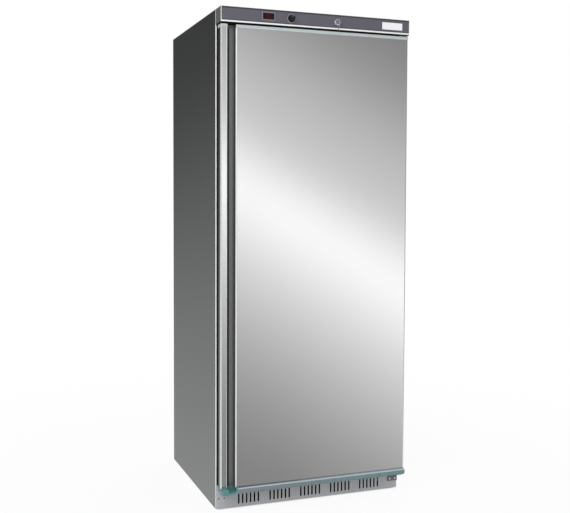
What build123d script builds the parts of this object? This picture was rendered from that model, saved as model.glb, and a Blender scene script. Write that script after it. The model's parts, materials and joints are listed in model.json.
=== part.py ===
from build123d import *
import os

# Upright one-door commercial refrigerator for 650 x 530 mm trays.
# Millimetres. X runs to the right of someone facing the door, Y from the front to the back
# and Z up. The shapes are drawn with Y zero on the face that the door closes on, and save()
# moves them all so that the origin is the middle of the footprint, on the floor.

# Cabinet shell, insulation and liner
WIDTH = 777.0
HEIGHT = 1895.0
BODY_DEPTH = 670.0
FLOOR_GAP = 3.0
SKIN = 1.0
SKIN_BEND = 1.5
EDGE_FOLD = 14.5
PANEL_SEAM = 0.4
WALL_FOAM = 50.0
BACK_FOAM = 59.0
FLOOR_FOAM = 49.0
CEILING_FOAM = 56.0
LINER_WALL = 3.0
LINER_CORNER = 10.0
DECK = 97.0
SEAL_BAND = 51.5
FRAME_SHEET = 1.2
FRAME_LIP = 12.0
HEADER_DEPTH = 60.0
ROOM_HEIGHT = 300.0
ROOM_DEPTH = 239.0

# Flat sides of the round pieces that are small, hidden or repeated
FACETS = 10
FINE_FACETS = 16
HOLE_FACETS = 8
SCREW_FACETS = 6

# Clearances
RUN = 0.05
FIT = 0.1
REST = 0.3

# Control fascia above the door, with heights taken from its lower edge
FASCIA_HEIGHT = 58.5
FASCIA_REACH = 70.0
FASCIA_SHEET = 1.2
FASCIA_CORNER = 4.0
FASCIA_ROLL = 10.0
FASCIA_LIP = 16.5
FASCIA_TAB_INSET = 58.5
FASCIA_TAB = (30.0, 40.0, 1.5)
CONTROL_RISE = 30.0
DISPLAY_X = -204.5
DISPLAY_RISE = 32.0
DISPLAY_SIZE = (45.0, 23.5)
WINDOW_THICK = 1.6
BEZEL_RIM = 4.0
BEZEL_PROUD = 2.0
MODULE_DEPTH = 46.0
MODULE_WALL = 2.0
LABEL_END_GAP = 33.5
LABEL_SIZE = (88.0, 27.5)
LABEL_THICK = 1.2
LABEL_CORNER = 1.5

# Thermostat
THERMOSTAT_X = -113.0
THERMOSTAT_BOX = (42.0, 32.0, 30.0)
THERMOSTAT_STEM = 10.0
SHAFT_DIAMETER = 6.0
SHAFT_LENGTH = 26.0
KNOB_DIAMETER = 28.0
KNOB_GRIP = 26.0
KNOB_TAPER = 12.0
KNOB_HEIGHT = 15.0
KNOB_SKIRT = 3.5
POINTER = (1.6, 1.2)

# Lock, its key and the spare key on a ring
LOCK_X = 75.0
LOCK_FACE = 24.0
LOCK_BODY = 18.0
LOCK_ROTOR = 12.0
LOCK_PROUD = 2.5
LOCK_DEPTH = 26.0
CAM_LENGTH = 44.0
CAM_WIDTH = 14.0
CAM_THICK = 3.0
KEY_BOW = 20.0
KEY_THICK = 2.0
KEY_BLADE = (7.5, 15.0)
KEY_HOLE = 4.0
KEY_HOLE_RISE = 6.0
RING_DIAMETER = 21.0
RING_WIRE = 1.5
RING_HANG = 0.8
SPARE_BOW = 13.0
SPARE_BLADE = (6.0, 8.0)
SPARE_HOLE_RISE = 3.0

# Door
DOOR_GAP = 4.5
DOOR_BOTTOM = 80.0
DOOR_FACE = 66.0
DOOR_BACK = 28.0
DOOR_RIGHT_GAP = 4.0
DOOR_SKIN = 1.0
DOOR_CORNER = 5.0
DOOR_FOLD = 26.0
STRIP_WIDTH = 25.5
MOUTH_WIDTH = 33.0
MOUTH_CORNER = 4.0
RECESS_DEPTH = 24.0
GRIP_WALL = 2.0
GRIP_LIP = 7.0
GRIP_CORNER = 3.0
GRIP_FOLD = 23.0
RECESS_TONGUE = 10.0
DOOR_LINER_WALL = 2.5
LINER_RIM = 6.0
PILLOW_INSET = 34.0
PILLOW_RISE = 7.0
PILLOW_CORNER = 24.0
PILLOW_EDGE = 5.0
GASKET_LAP = 26.0
GASKET_WIDTH = 20.0
GASKET_DEPTH = 13.7
GASKET_WALL = 1.6
MAGNET = (11.0, 3.0)

# Caps at the ends of the door, and the lock's keeper in the top one
TOP_CAP = 13.0
BOTTOM_CAP = 23.0
CAP_WALL = 3.0
CAP_PROUD = 0.8
CAP_EDGE = 1.5
LEDGE_REACH = 12.0
LEDGE_ROUND = 4.0
NOSE_REACH = 24.0
NOSE_WIDTH = 37.0
NOSE_BLEND = 10.0
SCOOP_DEPTH = 12.0
KEEPER = (62.0, 18.0, 1.5)
SLOT = (44.0, 10.5)
SLOT_SHIFT = 11.0

# Hinges on the right, and the holes for changing the door's hand
HINGE_INSET = 22.0
HINGE_REACH = 47.0
PIN_DIAMETER = 8.0
PIN_HEAD = (10.0, 2.5)
PIN_SHORT = 2.0
BUSH_DIAMETER = 14.0
BUSH_FLANGE = 20.0
BUSH_DEPTH = 16.0
TOP_BUSH_DEPTH = 11.0
BOSS_WALL = 4.0
BRACKET_THICK = 3.0
BRACKET_BEND = 3.0
BRACKET_CORNER = 8.0
BRACKET_WIDTH = 42.5
BRACKET_REACH = 60.0
BRACKET_GAP = 3.5
BRACKET_DROP = 44.0
TOP_BRACKET_RISE = 44.0
TOP_BRACKET_INSET = 2.5
TOP_SCREW_INSET = 14.0
HINGE_SCREW_INSET = 11.1
HINGE_SPACING = 22.8
HINGE_SCREW_DROP = 34.0
HINGE_HOLE = 5.2

# Plinth with its air slots
PLINTH_SHEET = 1.5
PLINTH_FOLD = 14.0
PLINTH_TOP_GAP = 1.0
SLOT_GROUPS = 5
SLOT_GROUP_PITCH = 129.2
SLOT_GROUPS_X = 2.5
SLOTS_IN_GROUP = 6
SLOT_PITCH = 16.0
SLOT_WIDTH = 6.6
SLOT_HEIGHT = 38.5
SLOT_CENTRE_Z = 33.3

# Wire shelves and the racks they slide in
SHELF_COUNT = 4
SHELF_SIDE_GAP = 9.5
SHELF_FRONT = 45.0
SHELF_BACK_GAP = 32.0
SHELF_STAYS = (0.3, 0.7)
SHELF_STAY = (12.0, 3.0)
SHELF_ROD = 8.0
SHELF_WIRE = 3.2
SHELF_WIRES = 13
RACK_WALL = 2.5
RACK_FOOT = 20.0
RACK_FRONT = 40.0
RACK_BACK_GAP = 13.0
RACK_TOP_GAP = 169.5
LEDGE_ROWS = 14
LEDGE_WIDTH = 24.0
LEDGE_ROOT = 5.0
LEDGE_TIP = 3.0
LEDGES_PER_SHELF = 4

# Floor rails, levelling feet and rear rollers
RAIL_SHEET = 1.2
RAIL_WIDTH = 52.0
RAIL_SHELF = 18.0
RAIL_SHELF_Z = 27.8
RAIL_LOW_EDGE = 12.0
FOOT_INSET = 27.0
FOOT_FROM_FRONT = 45.0
FOOT_PAD = (38.0, 9.0)
FOOT_EDGE = 2.2
FOOT_HEXAGON = (17.0, 15.0)
FOOT_STUD = 10.0
FOOT_SOCKET = (20.0, 22.0)
ROLLER_FROM_BACK = 42.0
ROLLER_DIAMETER = 50.0
ROLLER_WIDTH = 22.0
ROLLER_EDGE = 2.0
AXLE_DIAMETER = 8.0
AXLE_HEAD = (12.0, 2.0)
FORK_SHEET = 2.5
FORK_LENGTH = 40.0
FORK_GAP = 1.0

# Cooling unit in the machine room
TRAY_SHEET = 1.5
TRAY_FOLD = 16.0
TRAY_GAP = 9.0
COMPRESSOR_X = 160.0
COMPRESSOR_PLAN = (204.0, 150.0)
COMPRESSOR_HEIGHT = 178.0
COMPRESSOR_DOME = 30.0
COMPRESSOR_BASE = 10.0
COMPRESSOR_SEAM = (4.0, 5.0)
FOOT_PLATE = (236.0, 168.0, 3.0)
FOOT_PLATE_CORNER = 6.0
GROMMET = (24.0, 20.0)
TERMINAL_BOX = (34.0, 62.0, 70.0)
CONDENSER_SPAN = (-306.0, -46.0)
CONDENSER_DEPTH = 52.0
CONDENSER_HEIGHT = 196.0
CONDENSER_FINS = 8
CONDENSER_AIR = 12.0
CONDENSER_FAN = 176.0
FAN_HUB = (36.0, 18.0)
FAN_BLADES = 5
FAN_BLADE = 1.8
FAN_PITCH = 28.0
FAN_CHORD = (16.0, 30.0)
FAN_SHAFT = 5.0
MOTOR = (60.0, 42.0)
MOTOR_STAND = 44.0
PIPE = 8.0
PIPE_BEND = 16.0
SUCTION_RISE = 44.5
SUCTION_SHARE = 0.7
DISCHARGE_RISE = 117.5
DISCHARGE_SHARE = 0.4
CAPILLARY = 3.0
DRYER = (18.0, 64.0)
BOWL = (150.0, 176.0, 26.0)
BOWL_WALL = 2.0
BOWL_CORNER = 10.0
BOWL_BACK_GAP = 5.0
DRAIN_TUBE = 16.0
DRAIN_BORE = 12.0
DRAIN_BEND = 12.0

# Cooling unit under the ceiling
COVER_SIDE_GAP = 74.5
COVER_FRONT = 330.0
COVER_DROP = 134.0
COVER_SLOPE = 50.0
COVER_WALL = 2.5
COVER_SLOTS = 9
COVER_SLOT = (10.0, 52.0)
COVER_SLOT_PITCH = 40.0
AIR_FAN = 140.0
AIR_FAN_GAP = 5.0
AIR_FAN_FROM_BACK = 152.0
GUARD_BARS = 3
GUARD_BAR = 4.0
GUARD_HUB = 34.0
COIL_DEPTH = 66.0
COIL_FINS = 8
COIL_GAP = 8.0
FIN_GROOVE = 5.0
PROBE = (6.0, 34.0)
PROBE_CLIP = (10.0, 16.0, 20.0)

# Service cover at the back
SERVICE_EDGE = 6.0
SERVICE_LAP = 10.0
SERVICE_SLOTS = 5
SERVICE_COLUMNS = 3
SERVICE_SLOT = (118.0, 6.0)
SERVICE_SLOT_PITCH = (180.0, 20.0)
SERVICE_SLOT_Z = 195.0
SCREW_HEAD = (9.0, 2.4)
SCREW_SHANK = (4.6, 12.0)
SCREW_INSET = 22.0
GLAND_INSET = 70.5
GLAND_Z = 62.0
GLAND_FLANGE = 24.0
GLAND_BARREL = 16.0
GLAND_BORE = 9.0
GLAND_PROUD = 6.0
GLAND_DEPTH = 14.0
GLAND_EDGE = 2.0

# Places worked out from the sizes above
HALF = WIDTH / 2
FOLD_X = HALF - EDGE_FOLD
CELL_HALF = HALF - SKIN - WALL_FOAM - LINER_WALL
CELL_FLOOR = DECK + SKIN + FLOOR_FOAM + LINER_WALL
CELL_CEILING = HEIGHT - SKIN - CEILING_FOAM - LINER_WALL
CELL_BACK = BODY_DEPTH - SKIN - BACK_FOAM - LINER_WALL
FASCIA_BOTTOM = HEIGHT - FASCIA_HEIGHT
FASCIA_INSIDE = -FASCIA_REACH + FASCIA_SHEET
CONTROL_Z = FASCIA_BOTTOM + CONTROL_RISE
LABEL_X = HALF - LABEL_END_GAP - LABEL_SIZE[0] / 2
DISPLAY_SILL = -FASCIA_REACH - BEZEL_PROUD / 2 + WINDOW_THICK
OPENING_TOP = FASCIA_BOTTOM - SEAL_BAND
ROOM_FRONT = BODY_DEPTH - ROOM_DEPTH
STEP_Z = ROOM_HEIGHT + SKIN + WALL_FOAM + LINER_WALL
STEP_Y = ROOM_FRONT - SKIN - WALL_FOAM - LINER_WALL
DOOR_TOP = FASCIA_BOTTOM - DOOR_GAP
DOOR_RIGHT = HALF - DOOR_RIGHT_GAP
PANEL_TOP = DOOR_TOP - TOP_CAP
PANEL_BOTTOM = DOOR_BOTTOM + BOTTOM_CAP
RECESS_FLOOR = -DOOR_FACE + RECESS_DEPTH
MOUTH_LEFT = -HALF + STRIP_WIDTH
MOUTH_RIGHT = MOUTH_LEFT + MOUTH_WIDTH
HINGE_X = HALF - HINGE_INSET
HINGE_Y = -HINGE_REACH
GASKET_BASE = -REST - GASKET_DEPTH
GASKET_HALF = CELL_HALF + GASKET_LAP
GASKET_Z = (CELL_FLOOR - GASKET_LAP, OPENING_TOP + GASKET_LAP)
BUSH_BOSS = BUSH_DIAMETER + 2 * BOSS_WALL
BRACKET_TOP = DOOR_BOTTOM - BRACKET_GAP
HINGE_SCREW_Z = BRACKET_TOP - HINGE_SCREW_DROP
LOCK_FRONT = -FASCIA_REACH - LOCK_PROUD
CAM_FRONT = LOCK_FRONT + LOCK_DEPTH + REST
CAM_Y = CAM_FRONT + CAM_THICK / 2
KEY_Y = LOCK_FRONT - KEY_BOW / 2
KEY_HOLE_Z = CONTROL_Z + KEY_HOLE_RISE
RING_TOP = KEY_HOLE_Z - RING_HANG
RING_RADIUS = (RING_DIAMETER - RING_WIRE) / 2
RING_Z = RING_TOP - RING_RADIUS
SPARE_HOLE_Z = RING_Z - RING_RADIUS - (KEY_HOLE - RING_WIRE) / 2 + RUN
SLOT_X = LOCK_X + SLOT_SHIFT
COVER_Z = CELL_CEILING - COVER_DROP
COVER_HALF = CELL_HALF - COVER_SIDE_GAP
AIR_FAN_Y = CELL_BACK - AIR_FAN_FROM_BACK
FIRST_LEDGE = STEP_Z + RACK_FOOT
LEDGE_PITCH = (COVER_Z - RACK_TOP_GAP - RACK_FOOT - FIRST_LEDGE) / (LEDGE_ROWS - 1)
RACK_BACK = CELL_BACK - RACK_BACK_GAP
SHELF_WIDTH = 2 * (CELL_HALF - SHELF_SIDE_GAP)
SHELF_DEPTH = CELL_BACK - SHELF_BACK_GAP - SHELF_FRONT
TRAY_TOP = RAIL_SHELF_Z + TRAY_SHEET
TRAY_HALF = HALF - SKIN - RAIL_WIDTH - RAIL_SHEET - REST
TRAY_FRONT = ROOM_FRONT + TRAY_GAP
TRAY_BACK = BODY_DEPTH - TRAY_GAP
COMPRESSOR_Y = (TRAY_FRONT + TRAY_BACK) / 2
COMPRESSOR_Z = TRAY_TOP + GROMMET[1] + FOOT_PLATE[2]
COMPRESSOR_TOP = COMPRESSOR_Z + COMPRESSOR_HEIGHT
CONDENSER_X = (CONDENSER_SPAN[0] + CONDENSER_SPAN[1]) / 2
CONDENSER_FRONT = TRAY_FRONT + 2 * TRAY_SHEET
CONDENSER_BACK = CONDENSER_FRONT + CONDENSER_DEPTH
CONDENSER_Z = TRAY_TOP + CONDENSER_HEIGHT / 2
DRAIN_Y = CELL_BACK + LINER_WALL + BACK_FOAM / 2
FOOT_PLACE = (-HALF + FOOT_INSET, FOOT_FROM_FRONT)
GLAND_X = HALF - GLAND_INSET
ROLLER_PLACE = (-HALF + FOOT_INSET, BODY_DEPTH - ROLLER_FROM_BACK, ROLLER_DIAMETER / 2)
FRONT_REACH = max(FASCIA_REACH + LOCK_PROUD + KEY_BOW, DOOR_FACE + NOSE_REACH)
BACK_REACH = BODY_DEPTH + SKIN + GLAND_PROUD
Y_SHIFT = (FRONT_REACH - BACK_REACH) / 2


def save(name, *shapes):
    """Writes one piece, or a group of like pieces, with the origin under the middle."""
    placed = [Pos(0, Y_SHIFT, 0) * shape for shape in shapes]
    group = placed[0] if len(placed) == 1 else Compound(children=placed)
    export_step(group, "parts/" + name + ".step")


def block(x, y, z):
    """A box between two values on each axis."""
    size = [high - low for low, high in (x, y, z)]
    middle = [(high + low) / 2 for low, high in (x, y, z)]
    return Pos(*middle) * Box(*size)


def around(middle, size):
    """The span of a given size about its middle."""
    return (middle - size / 2, middle + size / 2)


def upright(sketch, z):
    """A plan drawn in X and Y, standing over a span of Z."""
    return Pos(0, 0, z[0]) * extrude(sketch, z[1] - z[0])


def across(sketch, x):
    """A side view drawn in Y and Z, running over a span of X."""
    return Pos(x[0], 0, 0) * extrude(Plane.YZ * sketch, x[1] - x[0])


def inward(sketch, y):
    """A front view drawn in X and Z, running back over a span of Y."""
    return Pos(0, y[1], 0) * extrude(Plane.XZ * sketch, y[1] - y[0])


def cut_path(points, cut):
    """The points of a path, with every corner cut across at a given distance from it."""
    path = [points[0]]
    for before, corner, after in zip(points, points[1:], points[2:]):
        for neighbour in (before, after):
            step = (Vector(neighbour) - Vector(corner)).normalized() * cut
            path.append(Vector(corner) + step)
    return path + [points[-1]]


def bent(points, sheet, bend):
    """The section of a folded sheet whose middle runs through the points, its bends cut across."""
    return trace(Polyline(*cut_path(points, bend)), line_width=sheet)


def outline(points, radii):
    """A closed section with each corner rounded by its own radius."""
    return make_face(FilletPolyline(*points, radius=radii, close=True))


def folded(points, sheet):
    """The section of a hidden folded sheet, with sharp folds."""
    return trace(Polyline(*points), line_width=sheet)


def cut_corners(wide, tall, cut):
    """A rectangle with its corners cut across."""
    return chamfer(Rectangle(wide, tall).vertices(), cut)


def faceted(diameter, sides):
    """A round drawn with flat sides that touch the circle from outside."""
    return RegularPolygon(diameter / 2, sides, major_radius=False)


def eight_sided(diameter):
    """A round drawn with eight flat sides, one of them on each axis."""
    return Rot(0, 0, 180 / HOLE_FACETS) * faceted(diameter, HOLE_FACETS)


def tube(points, bend, diameter):
    """An eight-sided tube along straight runs, with every corner cut across."""
    line = Polyline(*cut_path(points, bend))
    start = Plane(origin=line @ 0, z_dir=line % 0)
    return sweep(start * faceted(diameter, HOLE_FACETS), path=line, transition=Transition.RIGHT)


def bar_x(y, z, x, diameter, sides=FACETS):
    """A bar with flat sides along X."""
    return across(Pos(y, z) * faceted(diameter, sides), x)


def bar_y(x, z, y, diameter, sides=FACETS):
    """A bar with flat sides along Y."""
    return inward(Pos(x, z) * faceted(diameter, sides), y)


def bar_z(x, y, z, diameter, sides=FACETS):
    """A bar with flat sides along Z."""
    return upright(Pos(x, y) * faceted(diameter, sides), z)


def rod_x(y, z, x, diameter):
    """A round bar along X."""
    middle = Pos((x[0] + x[1]) / 2, y, z)
    return middle * Rot(0, 90, 0) * Cylinder(diameter / 2, x[1] - x[0])


def rod_y(x, z, y, diameter):
    """A round bar along Y."""
    middle = Pos(x, (y[0] + y[1]) / 2, z)
    return middle * Rot(90, 0, 0) * Cylinder(diameter / 2, y[1] - y[0])


def rod_z(x, y, z, diameter):
    """A round bar along Z."""
    return Pos(x, y, (z[0] + z[1]) / 2) * Cylinder(diameter / 2, z[1] - z[0])


def mirrored(shape):
    """The same piece on the other side of the cabinet."""
    return mirror(shape, about=Plane.YZ)


# Cabinet shell


def hinge_holes(side, y):
    """Cutters for the two screws of a hinge bracket on one side of the plinth."""
    outer = side * (HALF - HINGE_SCREW_INSET)
    inner = side * (HALF - HINGE_SCREW_INSET - HINGE_SPACING)
    return [bar_y(x, HINGE_SCREW_Z, y, HINGE_HOLE, SCREW_FACETS) for x in (outer, inner)]


def spare_holes(y):
    """Round cutters for the same holes on the left, where the bracket can also go."""
    inner = -HALF + HINGE_SCREW_INSET + HINGE_SPACING
    return [rod_y(x, HINGE_SCREW_Z, y, HINGE_HOLE) for x in (inner - HINGE_SPACING, inner)]


def top_screw_places():
    """Front view places of the two screws in the top hinge bracket."""
    x = HALF - BRACKET_WIDTH + TOP_SCREW_INSET
    low = FASCIA_BOTTOM + TOP_SCREW_INSET
    return [(x, low), (x, low + HINGE_SPACING)]


def top_screw_holes(y):
    """Cutters for the screws of the top hinge bracket."""
    return [bar_y(x, z, y, SCREW_SHANK[0], SCREW_FACETS) for x, z in top_screw_places()]


def service_screw_places():
    """Front view places of the four screws in the service cover."""
    x = HALF - EDGE_FOLD / 2
    low = FLOOR_GAP + SCREW_INSET
    return [(side * x, z) for side in (-1, 1) for z in (low, ROOM_HEIGHT - SCREW_INSET)]


def service_screw_holes(y):
    """Cutters for the screws of the service cover."""
    return [bar_y(x, z, y, SCREW_SHANK[0], SCREW_FACETS) for x, z in service_screw_places()]


def side_panel():
    """Left outer panel, with its front and back edges folded in."""
    wall = -HALF + SKIN / 2
    edge = -FOLD_X
    front = SKIN / 2
    back = BODY_DEPTH - SKIN / 2
    path = [(edge, front), (wall, front), (wall, back), (edge, back)]
    panel = upright(bent(path, SKIN, SKIN_BEND), (FLOOR_GAP, HEIGHT - SKIN))
    panel = panel - hinge_holes(-1, (-SKIN, 2 * SKIN))
    return panel - service_screw_holes((BODY_DEPTH - 2 * SKIN, BODY_DEPTH + SKIN))


def top_panel():
    """Roof sheet, its front and back edges folded down between the side panels' folds."""
    top = HEIGHT - SKIN / 2
    edge = HEIGHT - EDGE_FOLD
    front = SKIN / 2
    back = BODY_DEPTH - SKIN / 2
    path = [(front, edge), (front, top), (back, top), (back, edge)]
    sheet = across(folded(path, SKIN), (-HALF, HALF))
    notch = block((-HALF, -FOLD_X + PANEL_SEAM), (-SKIN, BODY_DEPTH + SKIN), (0, HEIGHT - SKIN))
    return sheet - notch - mirrored(notch)


def back_panel():
    """Outer sheet behind the foam, above the machine room."""
    half = FOLD_X - PANEL_SEAM
    z = (ROOM_HEIGHT + SKIN + PANEL_SEAM, HEIGHT - EDGE_FOLD - PANEL_SEAM)
    return block((-half, half), (BODY_DEPTH - SKIN, BODY_DEPTH), z)


def opening_form(grow, y):
    """The door opening, larger all round by the value grow."""
    half = CELL_HALF + grow
    return block((-half, half), y, (CELL_FLOOR - grow, OPENING_TOP + grow))


def front_frame():
    """Steel frame that the gasket closes on, with a lip turned into the opening."""
    half = FOLD_X - PANEL_SEAM
    top = HEIGHT - EDGE_FOLD - PANEL_SEAM
    face = block((-half, half), (0, FRAME_SHEET), (DECK, top))
    lip = opening_form(FRAME_SHEET, (0, FRAME_LIP))
    frame = (face + lip) - opening_form(0, (-SKIN, FRAME_LIP + SKIN))
    return frame - top_screw_holes((-SKIN, FRAME_LIP))


def cell_form(grow, front):
    """The cold space, stepped over the machine room and raised behind the header."""
    floor = CELL_FLOOR - grow
    step_y = STEP_Y + grow
    step_z = STEP_Z - grow
    back = CELL_BACK + grow
    ceiling = CELL_CEILING + grow
    header = HEADER_DEPTH - grow
    lintel = OPENING_TOP + grow
    points = [
        (front, floor),
        (step_y, floor),
        (step_y, step_z),
        (back, step_z),
        (back, ceiling),
        (header, ceiling),
        (header, lintel),
        (front, lintel),
    ]
    section = make_face(Polyline(*points, close=True))
    corners = [corner for corner in section.vertices() if corner.X > front]
    return across(chamfer(corners, LINER_CORNER), (-CELL_HALF - grow, CELL_HALF + grow))


def drain_path(diameter):
    """The melt-water drain, from behind the cold unit's tray down into the bowl."""
    inlet = COVER_Z + COVER_WALL + DRAIN_TUBE
    outlet = COMPRESSOR_TOP + BOWL[2] / 2
    points = [
        (COMPRESSOR_X, DRAIN_Y, outlet),
        (COMPRESSOR_X, DRAIN_Y, inlet),
        (COMPRESSOR_X, CELL_BACK - COVER_WALL, inlet),
    ]
    return tube(points, DRAIN_BEND, diameter)


def inner_liner():
    """Moulded liner of the cold space, open at the front."""
    shell = cell_form(LINER_WALL, FRAME_LIP) - cell_form(0, FRAME_LIP - SKIN)
    return shell - drain_path(DRAIN_TUBE)


def bottom_pan():
    """Sheet under the foam, stepped up to roof the machine room."""
    half = HALF - SKIN - SKIN_BEND
    path = [
        (FRAME_SHEET, DECK + SKIN / 2),
        (ROOM_FRONT - SKIN / 2, DECK + SKIN / 2),
        (ROOM_FRONT - SKIN / 2, ROOM_HEIGHT + SKIN / 2),
        (BODY_DEPTH - SKIN - PANEL_SEAM, ROOM_HEIGHT + SKIN / 2),
    ]
    sheet = across(folded(path, SKIN), (-half, half))
    return sheet - drain_path(DRAIN_TUBE) - capillary_path(CAPILLARY + FIT) - suction_path(PIPE)


def cabinet_foam():
    """Insulation that fills the walls between the outer sheets and the liner."""
    back = BODY_DEPTH - SKIN
    roof = ROOM_HEIGHT + SKIN
    solid = block((-HALF + SKIN, HALF - SKIN), (FRAME_SHEET, back), (DECK + SKIN, HEIGHT - SKIN))
    solid = chamfer(solid.edges().filter_by(Axis.Z), SKIN_BEND)
    solid = solid - block((-HALF, HALF), (ROOM_FRONT - SKIN, BODY_DEPTH), (0, roof))
    solid = solid - cell_form(LINER_WALL, FRAME_LIP)
    solid = solid - opening_form(FRAME_SHEET, (0, FRAME_LIP))
    solid = solid - top_screw_holes((0, SCREW_SHANK[1]))
    return solid - drain_path(DRAIN_TUBE) - capillary_path(CAPILLARY + FIT) - suction_path(PIPE)


# Plinth, rails, feet and rollers


def plinth_grille():
    """Front panel under the door, with groups of air slots."""
    half = HALF - SKIN
    face = block((-half, half), (-PLINTH_SHEET, 0), (FLOOR_GAP, DECK - PLINTH_TOP_GAP))
    fold_half = HALF - SKIN - RAIL_WIDTH - RAIL_SHELF - RAIL_SHEET
    fold_z = (FLOOR_GAP, FLOOR_GAP + PLINTH_SHEET)
    fold = block((-fold_half, fold_half), (-PLINTH_SHEET, PLINTH_FOLD), fold_z)
    slots = []
    for group in range(SLOT_GROUPS):
        middle = SLOT_GROUPS_X + (group - (SLOT_GROUPS - 1) / 2) * SLOT_GROUP_PITCH
        for number in range(SLOTS_IN_GROUP):
            x = middle + (number - (SLOTS_IN_GROUP - 1) / 2) * SLOT_PITCH
            slots.append(Pos(x, SLOT_CENTRE_Z) * Rectangle(SLOT_WIDTH, SLOT_HEIGHT))
    cutter = inward(Sketch() + slots, (-2 * PLINTH_SHEET, PLINTH_SHEET))
    depth = (-2 * PLINTH_SHEET, PLINTH_SHEET)
    return (face + fold) - cutter - hinge_holes(1, depth) - spare_holes(depth)


def foot_socket():
    """Threaded socket under the left rail's web."""
    diameter, length = FOOT_SOCKET
    top = DECK - RAIL_SHEET
    return bar_z(*FOOT_PLACE, (top - length, top), diameter)


def floor_rail():
    """Left floor rail, a folded channel with a welded socket for the foot."""
    outer = -HALF + SKIN + RAIL_SHEET / 2
    inner = outer + RAIL_WIDTH
    web = DECK - RAIL_SHEET / 2
    shelf = RAIL_SHELF_Z - RAIL_SHEET / 2
    path = [
        (outer, RAIL_LOW_EDGE),
        (outer, web),
        (inner, web),
        (inner, shelf),
        (inner + RAIL_SHELF, shelf),
    ]
    end_gap = SKIN + SKIN_BEND
    rail = inward(folded(path, RAIL_SHEET), (end_gap, BODY_DEPTH - end_gap))
    thread = bar_z(*FOOT_PLACE, (0, DECK - RAIL_SHEET), FOOT_STUD + 2 * RUN)
    return (rail + foot_socket()) - thread


def front_foot():
    """Left levelling foot: pad, hexagon and stud in one."""
    diameter, rise = FOOT_PAD
    flats, height = FOOT_HEXAGON
    pad = upright(RegularPolygon(diameter / 2, FINE_FACETS), (0, rise))
    pad = chamfer(pad.faces().sort_by(Axis.Z)[-1].edges(), FOOT_EDGE)
    hexagon = bar_z(0, 0, (rise, rise + height), flats, SCREW_FACETS)
    stud = rod_z(0, 0, (rise + height, DECK - 2 * RAIL_SHEET), FOOT_STUD)
    return Pos(*FOOT_PLACE) * (pad + hexagon + stud)


def roller_fork():
    """Left roller bracket, a folded channel open downwards."""
    x, y, z = ROLLER_PLACE
    half = ROLLER_WIDTH / 2 + FORK_GAP + FORK_SHEET / 2
    web = DECK - RAIL_SHEET - FORK_SHEET / 2
    low = z - AXLE_DIAMETER
    path = [(x - half, low), (x - half, web), (x + half, web), (x + half, low)]
    fork = inward(folded(path, FORK_SHEET), around(y, FORK_LENGTH))
    return fork - bar_x(y, z, around(x, RAIL_WIDTH), AXLE_DIAMETER)


def roller_axle():
    """Left roller axle, headed at both ends."""
    x, y, z = ROLLER_PLACE
    half = ROLLER_WIDTH / 2 + FORK_GAP + FORK_SHEET
    diameter, head = AXLE_HEAD
    bar = rod_x(y, z, (x - half, x + half), AXLE_DIAMETER)
    left = bar_x(y, z, (x - half - head, x - half), diameter, SCREW_FACETS)
    right = bar_x(y, z, (x + half, x + half + head), diameter, SCREW_FACETS)
    return bar + left + right


def rear_roller():
    """Left rear roller, with a bevelled tread and a bore that runs on its axle."""
    x, y, z = ROLLER_PLACE
    half = ROLLER_WIDTH / 2
    wheel = upright(RegularPolygon(ROLLER_DIAMETER / 2, FINE_FACETS), (-half, half))
    wheel = chamfer(wheel.edges().filter_by(Axis.Z, reverse=True), ROLLER_EDGE)
    bore = bar_x(y, z, around(x, 2 * ROLLER_WIDTH), AXLE_DIAMETER + 2 * RUN)
    return Pos(*ROLLER_PLACE) * Rot(0, 90, 0) * wheel - bore


# Control fascia


def fascia_form(inset):
    """The fascia's outer block, smaller by the value inset on every side but the back."""
    half = HALF - inset
    y = (-FASCIA_REACH + inset, -REST + inset)
    solid = block((-half, half), y, (FASCIA_BOTTOM + inset, HEIGHT - inset))
    front = solid.faces().sort_by(Axis.Y)[0]
    solid = chamfer(front.edges().filter_by(Axis.Z), FASCIA_CORNER)
    low_edge = solid.faces().sort_by(Axis.Y)[0].edges().sort_by(Axis.Z)[0]
    return fillet(low_edge, FASCIA_ROLL - inset)


def control_fascia():
    """Steel shell in front of the cabinet's head, open behind and mostly open below."""
    half = HALF - 2 * FASCIA_SHEET
    below = block(
        (-half, half),
        (-FASCIA_REACH + FASCIA_LIP, SKIN),
        (FASCIA_BOTTOM - SKIN, FASCIA_BOTTOM + 2 * FASCIA_SHEET),
    )
    y = (-FASCIA_REACH - SKIN, FASCIA_INSIDE + SKIN)
    wide, tall = DISPLAY_SIZE
    window = block(
        around(DISPLAY_X, wide + BEZEL_RIM),
        y,
        around(FASCIA_BOTTOM + DISPLAY_RISE, tall + BEZEL_RIM),
    )
    stem = bar_y(THERMOSTAT_X, CONTROL_Z, y, THERMOSTAT_STEM)
    barrel = bar_y(LOCK_X, CONTROL_Z, y, LOCK_BODY)
    shell = fascia_form(0) - fascia_form(FASCIA_SHEET) - below - window - stem - barrel
    tab_x = HALF - FASCIA_TAB_INSET
    return shell + [fascia_tab(x) for x in (-tab_x, 0, tab_x)]


def fascia_tab(x):
    """Angle welded inside the fascia, which stands against the cabinet's head."""
    width, reach, sheet = FASCIA_TAB
    top = HEIGHT - FASCIA_SHEET - sheet / 2
    back = -REST - sheet / 2
    path = [(back, HEIGHT - reach), (back, top), (-reach, top)]
    return across(folded(path, sheet), around(x, width))


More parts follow.
